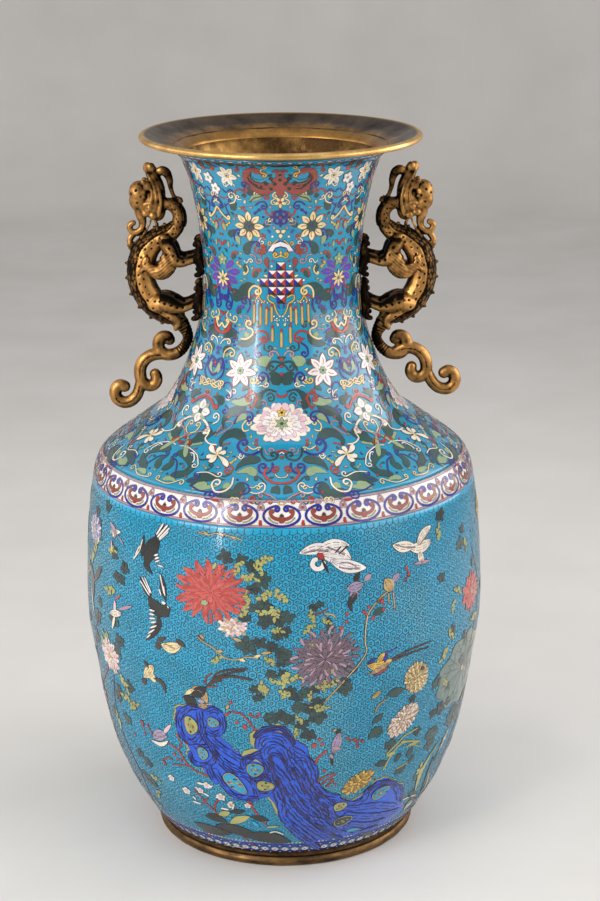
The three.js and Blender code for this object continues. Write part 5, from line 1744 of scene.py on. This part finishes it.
# Growth round the sides, between the front scene and the one on the back.
side_rng = np.random.default_rng(11)
for number in range(120):
    a = float(side_rng.uniform(48, 132)) * (1 if number % 2 else -1)
    if abs(a) > 90:
        a = math.copysign(180 - abs(a), a)
    z = float(side_rng.uniform(60, 515))
    if number % 3 == 0:
        sprig(a, z, float(side_rng.uniform(6, 10)), number)
    else:
        leaf_cluster(a, z, float(side_rng.uniform(6, 11)), number)
for side, places in ((1, [(72, 60), (68, 130), (74, 200), (70, 290), (76, 370), (70, 440)]),
                     (-1, [(-74, 60), (-70, 140), (-78, 230), (-72, 300), (-66, 350)]),
                     (1, [(86, 60), (88, 160), (84, 260), (88, 360), (84, 440)]),
                     (-1, [(-62, 60), (-58, 120), (-64, 200), (-60, 270)])):
    belly.stroke("brick", "taper", 1.6, 0, 0, 1, places)
belly.drawing("""
black lens 11 0 0 2 : -36.5,499 -39.8,477 -41.3,456
black comma 5 0 0 2 : -41.7,462 -40.3,453 -38.7,447
black lens 6.5 0 0 1 : -38.2,493 -34.2,516
white even 1.2 0 0 3 : -37.7,501 -35.5,518
white even 1.3 0 0 3 : -37.3,498 -34,517
white even 1.2 0 0 3 : -36.7,496 -33.3,514
white even 1.0 0 0 3 : -36.5,495 -33.5,509
black lens 3.2 0 0 2 : -43,466 -42.5,495
white even 0.8 0 0 3 : -43.8,473 -42.8,490
ivory even 1.0 0 0 2 : -46.2,459 -43.7,474
ivory even 0.9 0 0 2 : -45.5,466 -43.8,480
white lens 1.3 0 0 3 : -38.3,472 -36.5,476
white lens 1.3 0 0 3 : -38,468 -36.2,472
white lens 1.1 0 0 3 : -37.8,464 -36,468
white lens 1.0 0 0 3 : -37,461 -34.5,460
black lens 9.5 0 0 2 : -40,412 -36.7,400 -33.5,394
black lens 8.5 0 0 2 : -35.7,396 -32.3,405
white lens 2.2 0 0 3 : -35.2,411 -33.7,411
ivory lens 1.0 0 0 3 : -33.2,408 -32.7,405
black lens 5 0 0 1 : -38.8,411 -43.2,437
white even 1.0 0 0 3 : -39.5,416 -43.2,433
white even 1.0 0 0 3 : -39.2,419 -42.5,438
white even 1.0 0 0 3 : -38.8,420 -41.5,439
black lens 4.5 0 0 1 : -33.7,414 -35.7,450
white even 1.0 0 0 3 : -34.3,424 -35.8,449
white even 0.9 0 0 3 : -35.3,420 -36,429
white even 0.9 0 0 3 : -34,421 -34.5,434
black lens 5.5 0 0 1 : -36.7,394 -36.3,378 -40.7,352
white lens 1.3 0 0 3 : -39.8,396 -37.5,396
white lens 1.3 0 0 3 : -39.8,390 -37.5,391
white lens 1.3 0 0 3 : -39.7,384 -37.2,386
white lens 1.3 0 0 3 : -39.3,378 -36.8,382
white lens 1.3 0 0 3 : -39.5,370 -36.7,377
white lens 1.2 0 0 3 : -40.2,361 -37.5,371
white lens 1.0 0 0 3 : -40.8,354 -39,362
mauve lens 3.5 0 0 2 : -59.2,495 -55.7,484 -56.2,474
ivory lens 3.5 0 0 2 : -58.7,481 -52.8,488
ivory lens 2.5 0 0 2 : -56.8,475 -56.2,492
pink lens 1.5 0 0 2 : -57.7,472 -57,455
mauve lens 1.2 0 0 2 : -54,482 -50.8,472
ivory lens 5 0 0 2 : -57.8,367 -51.2,375
pink lens 3.5 0 0 2 : -54.8,370 -54.8,389
mauve lens 2.6 0 0 2 : -52.8,379 -46.5,392
ivory lens 2.8 0 0 2 : -54.7,369 -56.5,345
coral lens 1.2 0 0 2 : -54.8,390 -51.7,401
umber lens 7 0 0 2 : -74.7,413 -71.3,396 -70.8,365
umber lens 5 0 0 2 : -69.8,393 -63.2,425
ivory lens 2 0 0 3 : -74.8,409 -73.5,400
ivory lens 2 0 0 2 : -73,384 -69.8,342
red even 0.7 0 0 1 : -63.8,295 -63.5,276 -73.5,236
red even 0.7 0 0 1 : -63.5,276 -57.7,306
cream lens 7 0 0 2 : -43,293 -38.7,317
umber lens 3 0 0 2 : -42.3,319 -40.7,311
cream lens 7.5 0 0 2 : -35.3,352 -32.3,350 -28.7,357
tan even 0.6 0 0 3 : -34,354 -30.7,350
umber comma 5.5 0 0 2 : -37.3,346 -35,353
umber lens 3.5 0 0 3 : -30.3,364 -27.5,356
umber lens 3 0 0 2 : -36.8,356 -33.8,362
tan even 0.6 0 0 1 : -24,515 -20.8,513 -18.3,516 -13,513 -10.8,509
tan lens 1.4 0 0 1 : -22.5,517 -20.5,512
tan lens 1.4 0 0 1 : -17.8,518 -16.3,513
tan lens 1.4 0 0 1 : -14.5,515 -12.7,510
tan even 0.7 0 0 1 : -23.8,374 -21.8,367 -18.8,360 -16,349 -12.7,347 -9.5,352 -6.5,351
tan lens 1.8 0 0 1 : -23,377 -21.7,371
tan lens 2.2 0 0 1 : -18.5,355 -16.3,358
cream lens 2.0 0 0 1 : -12,349 -10,346
cream lens 2.0 0 0 1 : -7.8,352 -5.8,356
tan lens 2.0 0 0 1 : -5.8,358 -3,360
tan lens 2.0 0 0 1 : -13.5,377 -11,374
olive lens 2.2 0 0 1 : -19.3,468 -18.3,478
umber even 1.0 0 0 1 : -19.7,316 -17.8,326 -14.5,332 -9.5,336
white lens 7.5 0 0 2 : 4.8,494 9.8,499 15.2,493
white lens 8 0 0 2 : 9.2,496 14.2,502 18.8,500
white lens 13 0 0 2 : 10.5,491 14.8,490 19.2,480
white lens 8.5 0 0 3 : 13.3,482 18.3,472 23.5,467
white even 3.0 0 0 3 : 11.5,482 11,474 9.5,472 8.3,477 8.7,484 9.8,485
red lens 3.8 0 0 4 : 9.8,493 11.5,485
black lens 1.5 0 0 3.5 : 11,483 12.7,466
black even 0.5 0 0 4 : 14.8,492 16.3,499
black even 0.5 0 0 4 : 15.8,490 18.2,499
mauve even 0.5 0 0 4 : 6.2,494 9.2,497 12.7,495
mauve even 0.5 0 0 4 : 15.3,477 18.3,477 20.8,470
mauve even 0.5 0 0 4 : 12.7,500 14.8,495 17.3,488
mauve even 0.5 0 0 4 : 15.8,472 18.3,469 21.7,468
ivory lens 7.5 0 0 2 : 32.2,490 35.8,485 39.8,483
ivory lens 8 0 0 2 : 37.7,481 42.3,478 46.5,483
ivory lens 6 0 0 2 : 40.7,481 43.3,494 46.8,502
ivory lens 5 0 0 2 : 41.3,475 42.5,454
mauve even 0.5 0 0 3 : 33.2,490 36.3,484 40,480
mauve even 0.5 0 0 3 : 42,482 44.2,490 46,496
mauve lens 2.5 0 0 2 : 39.2,458 45.5,456
black comma 3.6 0 0 2 : 20.2,450 20.8,457 21.7,463
lilac lens 7 0 0 2 : 17.7,442 20,443 22.5,446
lilac lens 6 0 0 2 : 18.8,427 20.7,438
black comma 4 0 0 2.5 : 20.5,434 18.5,422 19,411
mauve lens 4 0 0 2 : 22.8,450 25,457
tan even 0.9 0 0 1 : 30.3,430 28,424 26.5,418 23.7,402 23,383 22.8,365 23.2,351 20.8,334 17.7,318 14.2,299 10,277
cream even 0.5 0 0 2 : 23.7,402 23,383 22.8,365 23.2,351 20.8,334 17.7,318
leaf lens 5 0 0 1 : 25.3,402 29,407
tan lens 8.5 0 0 2 : 29.2,447 30.3,439 31.2,428
lilac lens 5 0 0 2 : 31.7,441 33.8,451
tan even 0.8 0 0 1 : 31.7,427 32.2,403
tan even 0.8 0 0 1 : 30.2,427 30.3,413
red even 0.8 0 0 1 : 26.5,418 28.5,423
red even 0.7 0 0 1 : 36.3,456 37.2,446 35.3,438
yellow lens 6.5 0 0 2 : 23.5,331 27.5,327 31.3,333
yellow lens 4 0 0 2 : 26.5,333 28.8,345
cobalt lens 3.2 0 0 3 : 28.8,332 29.5,343
cobalt lens 2.2 0 0 2 : 23.7,334 26,339
tan lens 3.5 0 0 2 : 24,317 30.7,329
cobalt lens 2.0 0 0 3 : 25.7,314 28,318
brick lens 2 0 0 3 : 26.2,315 30.3,323
umber taper 1.3 0 0 2 : 31.2,333 37.2,340 45.2,342
umber taper 1.3 0 0 2 : 31.2,331 38.2,335 44.5,335
violet taper 1.0 0 0 2 : 29,344 32.8,348
brick even 0.7 0 0 1 : 7.5,410 10.3,413 12.3,417
tan even 0.9 0 0 1 : 11.3,411 13.5,409 14.5,404
yellow lens 3 0 0 1 : 25.8,280 28.3,289
leaf lens 6 0 0 1 : 30.5,280 36.2,283
umber even 0.6 0 0 1 : 20.8,329 18.7,321
cream lens 6 0 0 2 : -41.8,303 -40,300 -38.8,291
umber comma 5 0 0 2 : -44.2,284 -42.3,291
umber lens 3 0 0 2 : -39.2,297 -36.3,295 -35.3,280
black lens 7.5 0 0 3 : -26.2,284 -21.8,301
black lens 8 0 0 3 : -29.2,281 -27,276 -25.3,268
tan lens 7 0 0 2 : -27,290 -23.7,295 -21.7,278
lilac lens 3 0 0 3.4 : -24.7,279 -22.5,279
cream lens 3 0 0 3 : -28.5,285 -25.5,296
tan lens 4 0 0 3 : -24.7,272 -21.8,272
umber even 1.1 0 0 2 : -21.7,302 -18.5,318 -14.3,328 -10.5,332
umber even 1.5 0 0 2 : -21.5,303 -17.7,317 -13.7,323 -8.5,320
umber even 0.9 0 0 2 : -21.7,302 -19.7,311 -17,315
brick even 0.8 0 0 2 : -21.8,306 -21.5,316 -19.8,324
brick even 0.7 0 0 2 : -21.2,303 -18.2,306
lilac lens 8.5 0 0 2 : -43.2,199 -39.8,209 -37.2,209
pink lens 2.8 0 0 2 : -38.7,212 -35,231
ivory lens 3 0 0 3 : -44.5,194 -40.3,193 -37,203
mauve even 0.5 0 0 3 : -42.2,204 -40,205 -37.7,211
red even 1.1 0 0 1 : -37.7,199 -33.8,193 -31.5,177 -28.7,166 -23.8,160
red even 0.8 0 0 1 : -33.2,217 -32.3,206 -33.2,194
red even 0.8 0 0 1 : -41,167 -38,175 -36.5,173
red even 0.8 0 0 1 : -36.8,166 -33.2,169 -30.5,171
red even 0.8 0 0 1 : -48.5,218 -47.2,208 -47.2,196
red even 0.8 0 0 1 : -44.5,214 -43.8,205 -42.3,201
red lens 2.2 0 0 2 : -47.8,220 -47.2,212
red lens 2.2 0 0 2 : -41,166 -39.8,160
red even 0.9 0 0 1 : -14.7,269 -12,267 -9.8,256 -8,242
red even 0.8 0 0 1 : -9,266 -7.7,262 -6.8,268
red even 0.8 0 0 1 : -16.2,264 -15,269
tan lens 2 0 0 1 : -16.2,272 -15.3,279
white even 1.7 0 0 2 : -28.5,145 -26.3,145
white even 1.7 0 0 2 : -25.2,145 -23.3,143
white even 1.6 0 0 2 : -31.8,118 -30.8,113
white even 1.6 0 0 2 : -32.5,108 -29.2,107
white even 1.6 0 0 2 : -29.8,136 -27.2,132
white even 1.6 0 0 2 : -27,129 -25.2,125
white even 1.6 0 0 2 : -22.8,125 -20.8,129
white even 1.6 0 0 2 : -20.3,130 -19.8,122
white even 1.6 0 0 2 : -18.5,119 -17,122
white even 1.6 0 0 2 : -16.8,119 -17.5,108
white even 1.6 0 0 2 : -21.7,107 -19,106
pink even 1.2 0 0 2 : -24.5,140 -23,146
red even 0.9 0 0 1 : -30.5,132 -27.2,113 -24,96 -21,77
red even 0.8 0 0 1 : -25.8,121 -28.3,109
red even 0.8 0 0 1 : -24.5,99 -23.2,115 -21,124
red even 1.2 0 0 1 : -12,129 -10,110 -6.3,83
red even 0.9 0 0 1 : -10.5,112 -10.5,124
red even 0.7 0 0 1 : -32.5,41 -20.8,68 -14.8,49 -11.2,32
black lens 11 0 0 2 : -36.2,63 -29,58 -20.5,58
black lens 11 0 0 2 : -25.8,70 -17.8,68 -9.2,54
black lens 13 0 0 2 : -15.3,58 -6.5,58 2.2,48
black lens 8 0 0 2 : -29,84 -24.7,86 -20.8,81
black lens 4.5 0 0 2 : -18.7,102 -13.3,107
black lens 5.5 0 0 2 : -11.5,98 -5.5,93
darkleaf lens 5 0 0 2 : -28.3,66 -34.2,45
olive lens 6.5 0 0 3 : -19.5,80 -15.5,91 -11.8,98
olive lens 5 0 0 3 : -23.2,93 -18.7,102
tan even 0.5 0 0 3.6 : -18.7,82 -13,95
ivory even 1.2 0 0 3 : -5.5,68 -3.2,71 -0.3,65
ivory even 0.8 0 0 3 : -25.7,28 -16.3,29
celadon lens 2.4 0 0 2 : -6.7,79 -1.7,82
turquoise lens 3 0 0 3 : -11.3,90 -9,79
lilac lens 6.5 0 0 2 : 16.3,235 15.7,219 14.7,203
mauve lens 3.2 0 0 3 : 14,213 17,209
black lens 3.0 0 0 3 : 15.2,235 16.7,239
tan lens 1.8 0 0 3 : 14.3,239 15.5,240
black lens 1.8 0 0 2 : 14.2,201 14.7,184
mauve lens 2.4 0 0 2 : 13.7,203 14.8,195
red even 1.3 0 0 1 : 9.3,182 10,197 12.8,209
red even 0.7 0 0 1 : 19,222 21.3,219 24.2,217
red even 0.7 0 0 1 : 21.3,219 22.5,210 22.2,207
red even 0.8 0 0 1 : 10,154 11.8,166 15.2,171
red even 0.8 0 0 1 : 11.3,154 13.8,163 16,169
red even 0.8 0 0 1 : 13.2,151 15,159
red lens 1.8 0 0 2 : 22.5,210 22,206
olive even 1.3 0 0 1 : 32.3,160 35.2,186 39.2,196 46.5,187
olive even 1.1 0 0 1 : 32.5,185 36.7,199 39.2,207 44.2,211
olive lens 3.0 0 0 1 : 32.5,183 36.2,184
olive even 1.0 0 0 1 : 37.5,155 41.8,159 44.5,161
olive even 0.9 0 0 1 : 40,187 43.2,186 47,177
olive lens 2.2 0 0 1 : 37.7,198 40.2,196
olive lens 2.2 0 0 1 : 41,189 45.3,187
darkleaf lens 5 0 0 1 : 29,172 33.3,173
leaf lens 5 0 0 1 : 33,200 35,205
leaf lens 6 0 0 1 : 25.8,217 28,228 30,230
leaf lens 6 0 0 1 : 30.7,280 33.5,280 36.5,282
leaf lens 5 0 0 1 : 26.5,241 28.3,246 29.8,252
tan even 0.8 0 0 1 : 27.3,255 27.8,266 30.5,274
ochre lens 2.4 0 0 1 : 25.5,281 28.2,288
darkleaf lens 5 0 0 1 : 36.3,169 38.3,180
darkleaf lens 6 0 0 1 : 37.5,147 41.7,155
darkleaf lens 4 0 0 1 : 42.5,158 44.5,169
leaf lens 5 0 0 1 : 41.3,170 43.3,182
olive lens 4.5 0 0 2 : 53.2,91 51.7,125 54.8,158
leaf lens 3.5 0 0 2 : 59.3,82 58,114 57,144
olive lens 3.0 0 0 2 : 60,72 61.8,88 58.8,114
ivory lens 4 0 0 2 : 59.7,145 64,177
tan lens 1.4 0 0 3 : 60.8,153 61.2,168
olive lens 2 0 0 2 : 54.8,152 57.8,168
ivory lens 7.5 0 0 3 : 53,58 54.5,80
ivory lens 4 0 0 3 : 59.8,29 74.2,19
black lens 2.2 0 0 4 : 49.8,89 64,53
ivory even 1.4 0 0 3 : 46.2,88 50.2,87 55.3,82
black lens 1.2 0 0 4 : 52.5,70 54.7,73
tan even 0.5 0 0 4 : 54.7,55 79.2,29
darkleaf lens 7 0 0 3 : 26,54 30.3,52 38.8,33
turquoise lens 4 0 0 3 : 21.7,56 26.5,59 32.8,46
darkleaf lens 4 0 0 4 : 19.7,87 21.8,92 23.5,86
""")
belly.finish()


# ------------------------------------------------------------------ floor, light, camera
def stage_bowl():
    """A pale round floor that turns up into a low wall, the same from every side."""
    floor_reach, bend, top, around = 4.7, 1.0, 2.6, 128
    curve = np.linspace(0, math.pi / 2, 17)
    section = [(1.3, 0.0)] + [(floor_reach + bend * math.sin(a),
                               bend - bend * math.cos(a)) for a in curve]
    section.append((floor_reach + bend, top))
    turn = np.linspace(0, 2 * math.pi, around, endpoint=False)
    verts = [(0, 0, 0)] + [(r * math.cos(a), r * math.sin(a), z) for r, z in section for a in turn]
    faces = [(0, 1 + j, 1 + (j + 1) % around) for j in range(around)]
    for i in range(len(section) - 1):
        low, high = 1 + i * around, 1 + (i + 1) * around
        faces += [(low + j, high + j, high + (j + 1) % around,
                   low + (j + 1) % around) for j in range(around)]
    mesh = bpy.data.meshes.new("studio_floor")
    mesh.from_pydata(verts, [], faces)
    for polygon in mesh.polygons:
        polygon.use_smooth = True
    bowl = put("studio_floor", mesh)
    m = Nodes("pale_paper")
    m.link(m.mix(m.span(m.noise(3, 2), 0.3, 0.7, 0, 1), rgb("e2deda"), rgb("dad6d1")),
           m.shader.inputs["Base Color"])
    m.shader.inputs["Roughness"].default_value = 0.9
    mesh.materials.append(m.mat)


stage_bowl()


def soft_light(name, place, target, size, power, colour):
    data = bpy.data.lights.new(name, "AREA")
    data.shape = "RECTANGLE"
    data.size, data.size_y = size
    data.energy = power
    data.color = colour
    lamp = put(name, data)
    lamp.location = place
    lamp.rotation_euler = (Vector(target) - Vector(place)).to_track_quat("-Z", "Y").to_euler()


soft_light("window_left", (-2.3, -2.2, 1.95), (0, 0, 0.6), (2.1, 2.3), 66, (1, 0.985, 0.96))
soft_light("streak_left", (-1.5, -2.2, 1.3), (0, 0, 0.8), (0.12, 2.0), 13, (1, 1, 1))
soft_light("fill_right", (2.6, -1.6, 1.6), (0, 0, 0.5), (2.0, 2.4), 31, (0.98, 0.99, 1))
soft_light("wall_left", (-1.9, 0.35, 1.35), (0, 0, 0.55), (1.6, 1.3), 7, (1, 0.98, 0.96))
soft_light("wall_right", (1.9, 0.35, 1.25), (0, 0, 0.55), (1.6, 1.5), 22, (1, 0.98, 0.96))
soft_light("top", (0.2, -0.3, 3.0), (0, 0, 0.5), (2.2, 2.2), 8, (1, 0.99, 0.97))

world = bpy.data.worlds.new("studio_air")
world.use_nodes = True
world.node_tree.nodes["Background"].inputs["Color"].default_value = (0.86, 0.88, 0.9, 1)
world.node_tree.nodes["Background"].inputs["Strength"].default_value = 0.56
bpy.context.scene.world = world
bpy.context.scene.view_settings.view_transform = "Standard"

CAMERA_PLACE = (0.0284, -2.959, 1.441)
CAMERA_PITCH, CAMERA_ROLL = 16.73, 0.3  # degrees below level, degrees of tilt
LENS = 87.86
lens = bpy.data.cameras.new("camera")
lens.sensor_width = 36
lens.lens = LENS
lens.clip_start, lens.clip_end = 0.05, 50
camera = put("camera", lens)
camera.location = CAMERA_PLACE
camera.rotation_euler = (math.radians(90 - CAMERA_PITCH), math.radians(CAMERA_ROLL), 0)
bpy.context.scene.camera = camera
